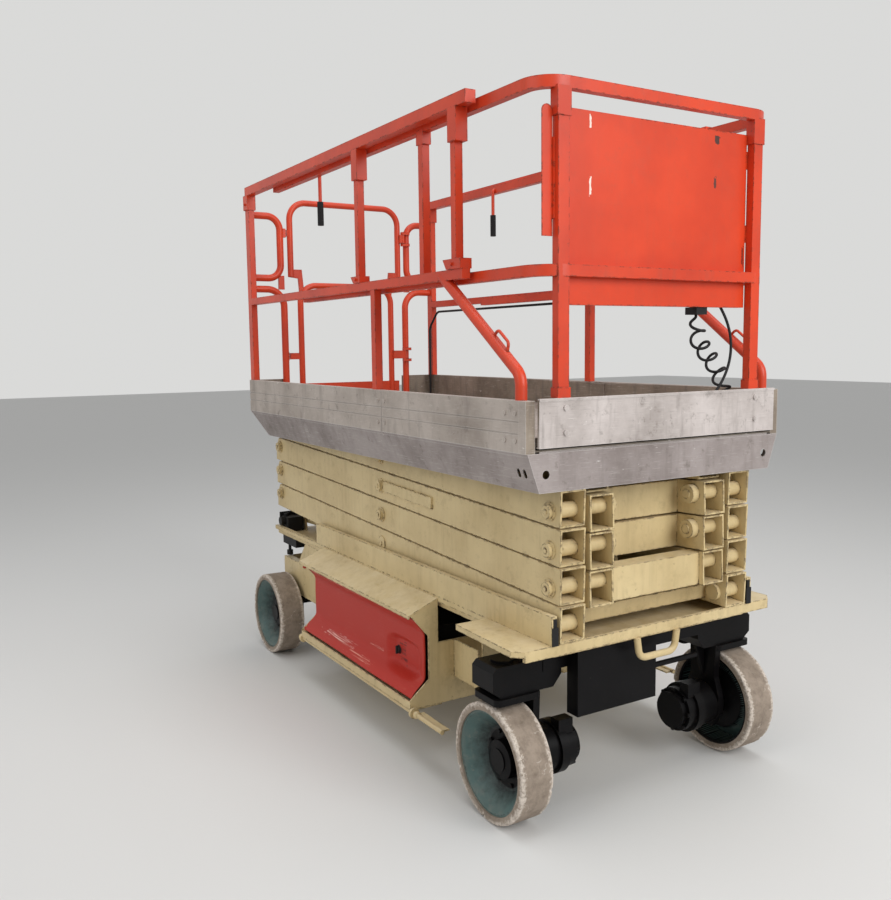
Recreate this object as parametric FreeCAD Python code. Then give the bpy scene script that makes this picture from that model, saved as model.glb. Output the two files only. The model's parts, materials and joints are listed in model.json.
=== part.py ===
import FreeCAD
import Part

import math
import os

V = FreeCAD.Vector
OUT = "parts"

# All sizes in millimetres: x forward to the steered axle, y to the left, z up from the floor.
# The right side mirrors the left unless a function says otherwise.

# fits
RUN_FIT = 0.05
KING_FIT = 0.1
TOUCH = 0.3
PIN_HEAD = 4.7
BOLT_R = 9.0

# chassis plate
PLATE_Z = 630.0
PLATE_T = 20.0
PAN_DROP = 30.0
PAN_T = 14.0
WEB_T = 6.0
PLATE_OVER_REAR = 31.0
PLATE_OVER_FRONT = 48.0
WING_L = 372.0
WING_Y = 592.0
WING_BEVEL = 34.0
LIP_H = 36.0
LIP_T = 14.0
SPINE_Y = 150.0
AXLE_UP = 127.0
AXLE_H = 90.0
SPINE_SET_FRONT = 532.0
SPINE_SET_REAR = 65.0
FRAME_T = 8.0
FOOT_Y = 400.0
FOOT_Z0 = 300.0
FOOT_L = 450.0
FOOT_Z1 = 470.0
LADDER_Y = 190.0
LADDER_DROP = 260.0
LADDER_TOE = 40.0
LADDER_OUT = 53.0
TOW_R = 12.0

# wheels and steering
WHEEL_R = 203.0
WHEEL_W = 125.0
WHEEL_Y = 522.0
TREAD = 28.0
FRONT_SET = 182.0
REAR_SET = 185.0
HUB_R = 30.0
SPINDLE_R = 62.0
KING_R = 25.0
YOKE_GAP = 12.0
YOKE_T = 22.0
BEAM_Z0 = 500.0
BEAM_W = 130.0
BLOCK_W = 124.0
BLOCK_H = 106.0
BLOCK_OUT = 600.0
LEG_Y = 414.0
LEG_T = 26.0
MOTOR_R = 94.0
MOTOR_IN = 244.0

# side boxes and doors
BOX_BEHIND = 530.0
BOX_AHEAD = 470.0
BOX_Z0 = 205.0
BOX_T = 6.0
EAVE_Y = 578.0
EAVE_Z = 572.0
WAIST_Y = 500.0
WAIST_Z0 = 310.0
WAIST_Z1 = 480.0
SILL_Y = 584.0
SILL_Z = 240.0
NOTCH_Z = 450.0
DOOR_T = 10.0
DOOR_PIN = 5.0
POCKET_SET = 175.0
POCKET_W = 270.0
POCKET_Z = 358.0
POCKET_H = 140.0
GUARD_Y = 572.0
GUARD_Z = 194.0
GUARD_R = 9.0
GUARD_W = 140.0
STAY_L = 212.0
LUG_T = 14.0
KNOB_R = 15.0

# scissor stack
STAGES = 4
PIN_X = 1184.0
ARM_H = 119.0
STACK_GAP = 6.0
ARM_W = 100.0
ARM_T = 6.0
ARM_END = 56.0
ARM_GAP = 20.0
IN_Y = 206.0
PIN_DOWN = 45.0
PIN_R = 19.0
BUSH_T = 7.0
HEAD_R = 31.0
CAP_R = 23.0
CAP_L = 18.0
LABEL_T = 9.0
BOSS_R = 33.0
BOSS_L = 30.0
CROSS_W = 70.0
ROLLER_R = 38.0
ROLLER_W = 11.5
TOP_ROLLER_R = 25.5
TOP_ROLLER_W = 19.5
CHANNEL_SHORT = 534.0
CHANNEL_T = 6.0
RUNNER_T = 11.7

# lift cylinder
FOOT_EYE_SET = 244.0
EYES_APART = 1020.0
EYE_PIN_R = 18.0
EYE_R = 34.0
EYE_W = 68.0
EYE_DROP = 4.0
ROD_STAGE = 3
CHEEK_T = 14.0
BARREL_R = 56.0
BARREL_T = 10.0
ROD_SHOWS = 230.0
ROD_R = 35.0

# platform
DECK_OVER = 66.0
DECK_Y = 560.0
SHEET = 4.0
BEARER_UP = 57.0
BEARER_H = 20.0
FLOOR_T = 5.0
TREAD_T = 3.0
SKIRT_H = 124.0
SKIRT_IN = 44.0
SKIRT_SLANT = 155.0
SKIRT_HOLE_R = 14.0
TOE_H = 152.0
TOE_T = 25.0
SEAM_SET = 970.0
RAIL_W = 40.0
RAIL_H = 42.0
MID_UP = 558.0
MID_H = 34.0
TOP_UP = 1117.0
POST_W = 30.0
UPPER_POST_SET = 213.0
LOWER_POST_SET = 84.0
LOWER_POST_L = 35.0
FRONT_POST_SET = 439.0
FRONT_POST_L = 29.0
TOP_RAIL_SET = 335.0
MID_RAIL_SET = 370.0
BRACE_R = 19.0
BRACE_SET = 522.0
BRACE_DROP = 330.0
BRACE_FOOT = 60.0
RING_AT = 372.0
RING_L = 100.0
RING_OUT = 44.0

# roll-out extension
EXT_Y = 494.0
EXT_L = 1700.0
EXT_T = 4.0
EXT_RAIL_W = 30.0
EXT_RAIL_H = 36.0
EXT_BEND = 90.0
EXT_POST_Y = 424.0
EXT_POST_W = 42.0
EXT_SIDE_SET = 728.0
EXT_TOP_BACK = 500.0
EXT_MID_BACK = 150.0
KICK_H = 152.0
PANEL_Y = 397.0
PANEL_H = 590.0
PANEL_RIM = 24.0
FLAP_W = 38.0
FLAP_H = 386.0
BOX_DROP = 130.0
CORD_R = 5.0
CURL_R = 34.0
GLAND_Y = 20.0
PLUG_Y = 200.0

# entry gate
GATE_Y = 322.0
GATE_LOW_Y = 272.0
GATE_R = 16.0
LOOP_R = 18.0
LOOP_Y = 378.0
ARCH_Y = 365.0
HINGE_R = 5.0

# worked out from the sizes above
PLATE_REAR = -PIN_X - PLATE_OVER_REAR
PLATE_FRONT = PIN_X + PLATE_OVER_FRONT
WING_X = PLATE_FRONT - WING_L
SPINE_REAR = PLATE_REAR + SPINE_SET_REAR
SPINE_FRONT = PLATE_FRONT - SPINE_SET_FRONT
FOOT_FRONT = SPINE_REAR + FOOT_L
FRONT_X = PLATE_FRONT - FRONT_SET
REAR_X = PLATE_REAR + REAR_SET
BOX_X0 = REAR_X + BOX_AHEAD
BOX_X1 = FRONT_X - BOX_BEHIND
POCKET_X = BOX_X1 - POCKET_SET
FOOT_EYE_X = PIN_X - FOOT_EYE_SET
ROD_EYE_X = FOOT_EYE_X - EYES_APART
BARREL_L = EYES_APART - ROD_SHOWS
CHANNEL_REAR = CHANNEL_SHORT - PIN_X
DECK_X = PIN_X + DECK_OVER
SEAM_X = DECK_X - SEAM_SET
EXT_X0 = DECK_X - EXT_L
OUT_Y = IN_Y + ARM_W + ARM_GAP
ARM_Y1 = OUT_Y + ARM_W
BUSH_R = PIN_R + BUSH_T
CHANNEL_Y0 = ARM_Y1 + 10.5
CHANNEL_Y1 = CHANNEL_Y0 + ROLLER_W + 3.0 + CHANNEL_T
PIN_Z = PLATE_Z + RUNNER_T + TOUCH + ROLLER_R
STEP_Z = ARM_H + STACK_GAP
PIN_OFF = ARM_H / 2.0 - PIN_DOWN
TOP_PIN_Z = PIN_Z + STAGES * STEP_Z
PLATE_Z0 = PLATE_Z - PLATE_T
PAN_Z = PLATE_Z - PAN_DROP
PAN_Z0 = PAN_Z - PAN_T
PAN_Y = CHANNEL_Y0 - 2.5
SPINE_Z0 = WHEEL_R + AXLE_UP
SIDE_Y = CHANNEL_Y1
BEARER_Z = TOP_PIN_Z + BEARER_UP
FLOOR_Z = BEARER_Z + BEARER_H + FLOOR_T
TREAD_Z = FLOOR_Z + TREAD_T
SKIRT_Z1 = FLOOR_Z - 10.0
SKIRT_Z0 = SKIRT_Z1 - SKIRT_H
TOE_Z1 = FLOOR_Z + TOE_H
MID_Z = FLOOR_Z + MID_UP
TOP_Z = FLOOR_Z + TOP_UP
RAIL_Y = DECK_Y - RAIL_W / 2.0
EXT_Z = TREAD_Z + 3.0
EXT_MID_Z = MID_Z - 12.0
EXT_TOP_Z = TOP_Z - 19.0
EXT_FACE = DECK_X - SHEET
PANEL_X = DECK_X - 30.0
GATE_X = SHEET + 24.0 - DECK_X
GATE_TOP_Z = TOP_Z - 34.0
HINGE_X = GATE_X + 26.0
HINGE_Y = ARCH_Y - 20.0
KING_Y = WHEEL_Y
YOKE_Z = 2.0 * WHEEL_R + YOKE_GAP
BLOCK_Z0 = YOKE_Z + YOKE_T + TOUCH
DOOR_X = BOX_X0 + 16.0
DOOR_Y = EAVE_Y - 12.0


def box(x0, y0, z0, x1, y1, z1):
    return Part.makeBox(x1 - x0, y1 - y0, z1 - z0, V(x0, y0, z0))


def cyl(p, d, r, h):
    return Part.makeCylinder(r, h, V(*p), V(*d))


def poly(points, axis, a, b):
    """A prism from an outline: axis 0 takes (y, z) points, 1 takes (x, z), 2 takes (x, y)."""
    pts = [V(*(p[:axis] + (a,) + p[axis:])) for p in points]
    face = Part.Face(Part.makePolygon(pts + pts[:1]))
    d = [0.0, 0.0, 0.0]
    d[axis] = b - a
    return face.extrude(V(*d))


def fuse(shapes):
    if len(shapes) == 1:
        return shapes[0]
    return shapes[0].fuse(shapes[1:]).removeSplitter()


def cut(shape, tools):
    return shape.cut(Part.makeCompound(tools))


def mirror_y(shape):
    return shape.mirror(V(0, 0, 0), V(0, 1, 0))


def both(shape):
    return fuse([shape, mirror_y(shape)])


def ring_of(n, r, first=0.0):
    """n places evenly round a circle of radius r."""
    turns = [math.radians(first + 360.0 * i / n) for i in range(n)]
    return [(r * math.cos(t), r * math.sin(t)) for t in turns]


def rounded(shape, r, along):
    """Fillet the edges of a prism that run along one axis."""
    picked = [e for e in shape.Edges
              if abs(e.tangentAt(e.FirstParameter).dot(V(*along))) > 0.999]
    return shape.makeFillet(r, picked)


def save(name, shape):
    shape.exportStep(os.path.join(OUT, name + ".step"))


def route(points, radii):
    """A wire of straight runs joined by arcs at the inner points."""
    edges = []
    last = V(*points[0])
    for i in range(1, len(points) - 1):
        a, b, c = V(*points[i - 1]), V(*points[i]), V(*points[i + 1])
        u, w = (a - b).normalize(), (c - b).normalize()
        r = radii[i - 1]
        half = u.getAngle(w) / 2.0
        t = r / math.tan(half)
        p, q = b + u * t, b + w * t
        mid = b + (u + w).normalize() * (r / math.sin(half) - r)
        if (p - last).Length > 0.01:
            edges.append(Part.LineSegment(last, p).toShape())
        edges.append(Part.Arc(p, mid, q).toShape())
        last = q
    edges.append(Part.LineSegment(last, V(*points[-1])).toShape())
    return Part.Wire(edges)


def tube(points, bends, r):
    """A round bar along a route; bends is one bend radius or one for each inner point."""
    radii = bends if isinstance(bends, list) else [bends] * (len(points) - 2)
    d = V(*points[1]) - V(*points[0])
    disc = Part.Face(Part.Wire(Part.makeCircle(r, V(*points[0]), d)))
    return route(points, radii).makePipe(disc)


def level_rail(points, bend, w, h):
    """A rectangular rail along a level route that starts along x: w across, h high."""
    p = V(*points[0])
    s, z = V(0, w / 2.0, 0), V(0, 0, h / 2.0)
    outline = Part.makePolygon([p + s + z, p - s + z, p - s - z, p + s - z, p + s + z])
    return route(points, [bend] * (len(points) - 2)).makePipe(Part.Face(outline))


def cord_bends(points):
    """Each bend of a cord is as wide as its two runs allow."""
    radii = []
    for a, b, c in zip(points, points[1:], points[2:]):
        u, w = V(*a) - V(*b), V(*c) - V(*b)
        turn = math.pi - u.getAngle(w)
        radii.append(0.45 * min(u.Length, w.Length) / math.tan(turn / 2.0))
    return radii


# scissor arms

def stage_z(k):
    """Height of the lower pins of stage k, counted from the top."""
    return PIN_Z + (STAGES - k) * STEP_Z


def pin_line_z(x, k):
    """Height of the line through the pins of inner arm k."""
    return stage_z(k) + STEP_Z * (x + PIN_X) / (2.0 * PIN_X)


def tube_slope():
    """The tubes lie nearer level than their pins, which sit high at one end and low at the other."""
    return (STEP_Z / 2.0 - PIN_OFF) / PIN_X


def tube_z(x, k):
    """Height of the middle of inner arm k's tubes."""
    return stage_z(k) + STEP_Z / 2.0 + tube_slope() * x


def arm_tube(y0, zm, near, rear, rise):
    """A hollow square tube through the middle of its stage; rise is 1 if it climbs forward."""
    slope = math.atan(tube_slope())
    a, b = -(PIN_X + rear) / math.cos(slope), (PIN_X + near) / math.cos(slope)
    h = ARM_H / 2.0
    shape = box(a, y0, -h, b, y0 + ARM_W, h)
    shape = shape.cut(box(a - 5, y0 + ARM_T, ARM_T - h, b + 5, y0 + ARM_W - ARM_T, h - ARM_T))
    top = -rise * h
    corner = poly([(a - 1, top * 1.1), (a + 38, top * 1.1), (a - 1, top * 0.2)],
                  1, y0 - 1, y0 + ARM_W + 1)
    shape = shape.cut(corner)
    shape.rotate(V(0, 0, 0), V(0, 1, 0), -rise * math.degrees(slope))
    shape.translate(V(0, 0, zm))
    return shape


def outer_arm(k):
    """Two tubes that slope down to the front, with a bush at each pin."""
    zl = stage_z(k)
    zm, zh = zl + STEP_Z / 2.0, zl + STEP_Z
    lowest, topmost = k == STAGES, k == 1
    pins = [(PIN_X, zl), (0.0, zm), (-PIN_X, zh)]
    side = [arm_tube(OUT_Y, zm, ARM_END, ARM_END - (16.0 if topmost else 0.0), -1)]
    side += [cyl((x, OUT_Y, z), (0, 1, 0), BUSH_R, ARM_W) for x, z in pins]
    bored = pins[1:] if lowest else pins
    bores = [cyl((x, OUT_Y - 5, z), (0, 1, 0), PIN_R + RUN_FIT, ARM_W + 10) for x, z in bored]
    side = cut(fuse(side), bores)
    extra = []
    if lowest:
        extra = [cyl((PIN_X, ARM_Y1 - 1, zl), (0, 1, 0), PIN_R, CHANNEL_Y0 + 3.0 - ARM_Y1),
                 cyl((PIN_X, CHANNEL_Y0 + 2.0, zl), (0, 1, 0), ROLLER_R, ROLLER_W),
                 cyl((PIN_X, OUT_Y - BOSS_L / 2.0, zl), (0, 1, 0), BUSH_R + 4, BOSS_L / 2.0 + 1)]
    if k == 2:
        plate = box(36, ARM_Y1, zm - 20, 440, ARM_Y1 + LABEL_T, zm + 24)
        plate.rotate(V(0, 0, zm), V(0, 1, 0), math.degrees(math.atan(tube_slope())))
        extra = [plate]
    shape = both(fuse([side] + extra))
    if lowest:
        bar = box(PIN_X - 114, -OUT_Y - 2, zl - 30, PIN_X - 44, OUT_Y + 2, zl + 20)
        shape = fuse([shape, bar])
    return shape


def inner_arm(k):
    """Two tubes that climb to the front, joined by cross tubes, with the pins on them."""
    zl = stage_z(k)
    zm, zh = zl + STEP_Z / 2.0, zl + STEP_Z
    lowest, topmost = k == STAGES, k == 1
    head_y = ARM_Y1 + TOUCH
    side = [arm_tube(IN_Y, zm, 25.0 if topmost else ARM_END, ARM_END, 1)]
    for x, z, pinned, boss in ((PIN_X, zh, not topmost, not lowest), (0.0, zm, True, False),
                               (-PIN_X, zl, not lowest, True)):
        if pinned:
            stand = BOSS_L if boss else 6.0
            short = lowest and x == 0.0
            cap = PIN_HEAD if short else CAP_L
            side += [cyl((x, IN_Y, z), (0, 1, 0), BUSH_R, OUT_Y - TOUCH - IN_Y),
                     cyl((x, IN_Y, z), (0, 1, 0), PIN_R, head_y + 2 - IN_Y),
                     cyl((x, head_y, z), (0, 1, 0), HEAD_R, PIN_HEAD),
                     cyl((x, head_y, z), (0, 1, 0), CAP_R, cap),
                     cyl((x, head_y, z), (0, 1, 0), BOLT_R, cap + 3.3),
                     cyl((x, IN_Y - stand, z), (0, 1, 0), BOSS_R, stand + 1),
                     cyl((x, IN_Y - stand - 5, z), (0, 1, 0), BOSS_R / 2.0, 6)]
        else:
            side.append(cyl((x, IN_Y, z), (0, 1, 0), BUSH_R, ARM_W))
    if topmost:
        side += [cyl((PIN_X, IN_Y - 7, zh), (0, 1, 0), PIN_R - 3, 10),
                 cyl((PIN_X, IN_Y - 6.5 - TOP_ROLLER_W, zh), (0, 1, 0), TOP_ROLLER_R, TOP_ROLLER_W)]
    side = fuse(side)
    if lowest:
        side = side.cut(cyl((-PIN_X, IN_Y - 60, zl), (0, 1, 0), PIN_R + RUN_FIT, ARM_W + 120))
    pieces = [both(side)]

    def cross(x, low, high, w=CROSS_W):
        z = tube_z(x, k)
        pieces.append(box(x - w / 2.0, -IN_Y - 3, z + low, x + w / 2.0, IN_Y + 3, z + high))

    full = ARM_H / 2.0 - 2.5
    if lowest:
        cross(PIN_X + 1, -full, full)
        cross(FOOT_EYE_X + 35, -full, 4 - EYE_R - EYE_DROP, 130.0)
        pieces += low_eye()
    elif topmost:
        cross(PIN_X - 104, -full - 1, -26, 80.0)
    else:
        cross(PIN_X - 109, -full - 1, full + 1)
    if k == ROD_STAGE:
        cross(ROD_EYE_X + 105, EYE_R + EYE_DROP, full, 150.0)
        pieces += high_eye()
    cross(CROSS_W / 2.0 + 74 - PIN_X, -50, 50)
    return fuse(pieces)


def cheeks(x, z, reach, stub):
    """Two cheek plates beside an eye, standing from a plate at the height reach from the pin."""
    out = []
    y = EYE_W / 2.0 + 2.0
    z0, z1 = sorted((z, z + reach))
    for s in (-1, 1):
        a, b = sorted((s * y, s * (y + CHEEK_T)))
        out.append(cyl((x, a, z), (0, 1, 0), EYE_R - 4, CHEEK_T))
        out.append(box(x - EYE_R + 4, a, z0, x + EYE_R - 4, b, z1))
        a, b = sorted((s * (y + 1), s * (y + CHEEK_T + stub)))
        out.append(cyl((x, a, z), (0, 1, 0), EYE_PIN_R, b - a))
    return out


def low_eye():
    """The cylinder's foot: cheeks on the lowest inner arm, with a pin right through."""
    z = pin_line_z(FOOT_EYE_X, STAGES)
    floor = tube_z(FOOT_EYE_X + 35, STAGES) - ARM_H / 2.0 + 10
    y = EYE_W / 2.0 + 3.0
    return cheeks(FOOT_EYE_X, z, floor - z, 6) + [cyl((FOOT_EYE_X, -y, z), (0, 1, 0), EYE_PIN_R, 2 * y)]


def high_eye():
    """The rod's cheeks hang from a plate of the arm above; the middle of the pin is the rod's own."""
    z = pin_line_z(ROD_EYE_X, ROD_STAGE)
    roof = tube_z(ROD_EYE_X + 105, ROD_STAGE) + ARM_H / 2.0 - 10
    out = cheeks(ROD_EYE_X, z, roof - z, 6)
    y = EYE_W / 2.0 + 2.0
    for s in (-1, 1):
        a, b = sorted((s * y, s * (y + CHEEK_T)))
        out.append(box(ROD_EYE_X - EYE_R + 4, a, z + EYE_R + EYE_DROP, ROD_EYE_X + 60, b, roof))
    return out


def cylinder_parts():
    """Barrel and rod along the line between the two eyes."""
    a = V(FOOT_EYE_X, 0, pin_line_z(FOOT_EYE_X, STAGES))
    b = V(ROD_EYE_X, 0, pin_line_z(ROD_EYE_X, ROD_STAGE))
    d = (b - a).normalize()
    length = (b - a).Length

    def along(s, r, h):
        return cyl(tuple(a + d * s), tuple(d), r, h)

    half = EYE_W / 2.0
    shell = along(60, BARREL_R, BARREL_L - 60).cut(along(90, BARREL_R - BARREL_T, BARREL_L - 120))
    shell = fuse([shell, cyl((a.x, -half, a.z), (0, 1, 0), EYE_R - 4, EYE_W),
                  box(a.x - 66, -half + 6, a.z - 22, a.x, half - 6, a.z + 22),
                  along(BARREL_L - 40, BARREL_R + 4, 60)])
    shell = cut(shell, [cyl((a.x, -half - 6, a.z), (0, 1, 0), EYE_PIN_R + RUN_FIT, EYE_W + 12),
                        along(BARREL_L - 60, ROD_R + RUN_FIT, 120)])
    start = BARREL_L / 2.0
    rod = fuse([along(start, ROD_R, length - start), cyl((b.x, -half, b.z), (0, 1, 0), EYE_R + 2, EYE_W)])
    return shell, rod


# chassis

def chassis_frame():
    """Pan under the arms, side plates with front wings, a box spine and the rear axle's feet."""
    w = WING_Y
    outline = [(PLATE_REAR, PAN_Y), (PLATE_FRONT, PAN_Y), (PLATE_FRONT, w - WING_BEVEL),
               (PLATE_FRONT - 32, w), (WING_X, w - 8), (WING_X, SIDE_Y), (PLATE_REAR, SIDE_Y)]
    side = fuse([poly(outline, 2, PLATE_Z0, PLATE_Z),
                 box(PLATE_REAR, PAN_Y, PAN_Z0, PLATE_FRONT - LIP_T, PAN_Y + WEB_T, PLATE_Z0 + 1)])
    pan = box(PLATE_REAR, -PAN_Y - 1, PAN_Z0, PLATE_FRONT - LIP_T + 1, PAN_Y + 1, PAN_Z)
    lip = box(PLATE_FRONT - LIP_T, WING_BEVEL - w, PLATE_Z - LIP_H, PLATE_FRONT, w - WING_BEVEL, PLATE_Z)
    t = FRAME_T
    spine = box(SPINE_REAR, -SPINE_Y, SPINE_Z0, SPINE_FRONT, SPINE_Y, PAN_Z0)
    spine = spine.cut(box(SPINE_REAR + t, t - SPINE_Y, SPINE_Z0 + t, SPINE_FRONT - t, SPINE_Y - t,
                          PAN_Z0))
    ends = [box(SPINE_REAR, -430, FOOT_Z0, SPINE_REAR + t, 430, FOOT_Z1),
            box(SPINE_REAR, -SPINE_Y, SPINE_Z0, SPINE_REAR + t, SPINE_Y, PAN_Z0),
            box(FOOT_FRONT, -PAN_Y, FOOT_Z0, FOOT_FRONT + t, PAN_Y, PAN_Z0),
            box(SPINE_FRONT - t, -370, FOOT_Z0, SPINE_FRONT, 370, PAN_Z0)]
    foot = poly([(SPINE_REAR, FOOT_Z0), (FOOT_FRONT, FOOT_Z0), (FOOT_FRONT, PAN_Z0 + 1),
                 (FOOT_FRONT - 150, PAN_Z0 + 1), (SPINE_REAR + 200, FOOT_Z1), (SPINE_REAR, FOOT_Z1)],
                1, FOOT_Y, FOOT_Y + 36)
    return fuse([pan, both(side), lip, spine, both(foot)] + ends)


def slide_channels():
    """Channels on the chassis plate that the lowest rollers run in."""
    z1 = PIN_Z + ROLLER_R + TOUCH + 8.7
    shape = box(CHANNEL_REAR, CHANNEL_Y0, PLATE_Z, PLATE_FRONT + 4, CHANNEL_Y1, z1)
    room = box(CHANNEL_REAR - 5, CHANNEL_Y0 - 5, PLATE_Z + RUNNER_T, PLATE_FRONT + 9,
               CHANNEL_Y1 - CHANNEL_T, z1 - 8.7)
    return both(shape.cut(room))


def channel_stops():
    """Rubber blocks that close the front ends of the channels."""
    block = box(PLATE_FRONT - 8, CHANNEL_Y0 + 1, PLATE_Z + RUNNER_T, PLATE_FRONT + 6,
                CHANNEL_Y1 - CHANNEL_T, PIN_Z + ROLLER_R + TOUCH)
    face = box(PLATE_FRONT + 4, CHANNEL_Y0 - 4, PLATE_Z, PLATE_FRONT + 8, CHANNEL_Y1, PIN_Z + 10)
    return both(fuse([block, face]))


def pivot_brackets():
    """Cheeks at the rear of the plate that hold the lowest inner arm's fixed pivot."""
    y0, y1 = IN_Y - 3.0, IN_Y + ARM_W + 3.0
    line = [(PLATE_REAR, PAN_Z), (PLATE_REAR + 95, PAN_Z), (34 - PIN_X, PIN_Z + 35),
            (-PIN_X - 24, PIN_Z + 35)]
    side = [poly(line, 1, y0 - 13, y0), poly(line, 1, y1, y1 + 11),
            cyl((-PIN_X, y0 - 19, PIN_Z), (0, 1, 0), PIN_R, y1 - y0 + 34),
            cyl((-PIN_X, y0 - 25, PIN_Z), (0, 1, 0), HEAD_R, 12.0)]
    return both(fuse(side))


def end_plate(inner):
    """End plate outline of a side box, (y, z); inner is its edge beside the spine."""
    return inner + [(SIDE_Y, PLATE_Z - 9), (EAVE_Y, EAVE_Z), (WAIST_Y, WAIST_Z1),
                    (WAIST_Y, WAIST_Z0), (SILL_Y, SILL_Z), (SILL_Y, BOX_Z0), (SPINE_Y, BOX_Z0)]


def side_box():
    """Sheet box under the plate: waisted end plates, sloping cover, tray and inner wall."""
    t = BOX_T
    web = PAN_Y + WEB_T
    whole = [(SPINE_Y, PAN_Z0), (web, PAN_Z0), (web, PLATE_Z0), (SIDE_Y, PLATE_Z0)]
    notched = [(SPINE_Y, NOTCH_Z), (SIDE_Y, NOTCH_Z)]
    plates = [poly(end_plate(whole), 0, BOX_X0, BOX_X0 + t),
              poly(end_plate(notched), 0, BOX_X1 - t, BOX_X1)]
    cover = [(SIDE_Y, PLATE_Z - 6 - t), (SIDE_Y, PLATE_Z - 6), (SIDE_Y + 4, PLATE_Z - 6),
             (EAVE_Y + 8, EAVE_Z + 2), (EAVE_Y + 8, EAVE_Z - 12), (EAVE_Y + 4, EAVE_Z - 12),
             (EAVE_Y + 2, EAVE_Z - 2)]
    top = poly(cover, 0, BOX_X0, BOX_X1 + 2)
    tray = poly([(SPINE_Y, BOX_Z0), (SILL_Y, BOX_Z0), (SILL_Y, SILL_Z - 4), (SILL_Y - 5, SILL_Z - 4),
                 (SILL_Y - 5, BOX_Z0 + 5), (SPINE_Y, BOX_Z0 + 5)], 0, BOX_X0, BOX_X1)
    inner = box(BOX_X0, SPINE_Y, BOX_Z0, BOX_X1, SPINE_Y + 5, PAN_Z0)
    skirt = box(BOX_X1, 380, FOOT_Z0, SPINE_FRONT - FRAME_T, 380 + t, NOTCH_Z)
    lugs = [cyl((x, GUARD_Y, GUARD_Z), (1, 0, 0), 20.0, LUG_T) for x in (BOX_X0 - LUG_T, BOX_X1)]
    hinge = []
    for z0, z1, pin0 in ((SILL_Z - 12, SILL_Z - 2, SILL_Z - 4), (EAVE_Z - 12, EAVE_Z, EAVE_Z - 36)):
        hinge.append(box(BOX_X0 + 4, DOOR_Y - 18, z0, BOX_X0 + 24, DOOR_Y + 16, z1))
        hinge.append(cyl((DOOR_X, DOOR_Y, pin0), (0, 0, 1), DOOR_PIN, 26.0))
    shape = fuse(plates + [top, tray, inner, skirt] + lugs + hinge)
    return shape.cut(cyl((BOX_X0 - 20, GUARD_Y, GUARD_Z), (1, 0, 0), GUARD_R + RUN_FIT, 1200.0))


def side_door():
    """Moulded door that follows the box's waist, hinged at the rear, with a latch pocket."""
    x0, x1 = DOOR_X - 4, BOX_X1 - 14
    out, t = WAIST_Y + 14.0, DOOR_T
    line = [(out + 8, EAVE_Z - 20), (out + 46, EAVE_Z - 20), (out, WAIST_Z1 + 14), (out, WAIST_Z0 - 6),
            (SILL_Y - 10, SILL_Z + 14), (SILL_Y - 10, SILL_Z), (SILL_Y - 24, SILL_Z),
            (out - t, WAIST_Z0 - 18), (out - t, WAIST_Z1 + 26)]
    skin = poly(line, 0, x0, x1)
    a, b = POCKET_X - POCKET_W / 2.0, POCKET_X + POCKET_W / 2.0
    c, d = POCKET_Z - POCKET_H / 2.0, POCKET_Z + POCKET_H / 2.0
    hole = rounded(box(a, out - t - 20, c, b, out + 34, d), 28.0, (0, 1, 0))
    wall = rounded(box(a - 4, out - t - 24, c - 4, b + 4, out - 1, d + 4), 32.0, (0, 1, 0))
    skin = fuse([skin, wall]).cut(hole)
    latch = [cyl((a + 52, out - t - 21, POCKET_Z), (0, 1, 0), 17.0, 15.0),
             box(a + 46, out - t - 21, POCKET_Z - 14, a + 58, out - 4, POCKET_Z + 14)]
    knuckles = [cyl((DOOR_X, DOOR_Y, z), (0, 0, 1), DOOR_PIN + 4, 18.0)
                for z in (SILL_Z - 2 + TOUCH, EAVE_Z - 30)]
    tab = box(x0, DOOR_Y - 26, EAVE_Z - 30, x0 + 14, DOOR_Y - 4, EAVE_Z - 20)
    shape = fuse([skin, tab] + latch + knuckles)
    return shape.cut(cyl((DOOR_X, DOOR_Y, BOX_Z0 - 5), (0, 0, 1), DOOR_PIN + RUN_FIT, EAVE_Z - BOX_Z0))


def battery_block():
    z0 = BOX_Z0 + 5
    return box(BOX_X0 + 40, SPINE_Y + 30, z0, BOX_X1 - 60, WAIST_Y - 26, z0 + 270)


def hydraulic_block():
    z0 = BOX_Z0 + 5
    return box(BOX_X0 + 60, 26 - WAIST_Y, z0, BOX_X1 - 120, -SPINE_Y - 50, z0 + 260)


def hole_guard():
    """The bar that swings down beside a side box: a rod with a flat blade, folded in at rest."""
    y, t = GUARD_Y, 3.0
    blade = box(BOX_X0 + 20, y - GUARD_W, GUARD_Z - t, BOX_X1 - 20, y, GUARD_Z + t)
    clear = LUG_T + KNOB_R + 1.0
    rod = cyl((BOX_X0 - clear, y, GUARD_Z), (1, 0, 0), GUARD_R, BOX_X1 - BOX_X0 + clear + STAY_L + 8)
    stay = box(BOX_X1 + 24, y - 34, GUARD_Z - t, BOX_X1 + STAY_L, y, GUARD_Z + t)
    knobs = [Part.makeSphere(KNOB_R, V(x, y, GUARD_Z), V(1, 0, 0))
             for x in (BOX_X0 - clear, BOX_X1 + clear)]
    return fuse([blade, rod, stay] + knobs)


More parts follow.
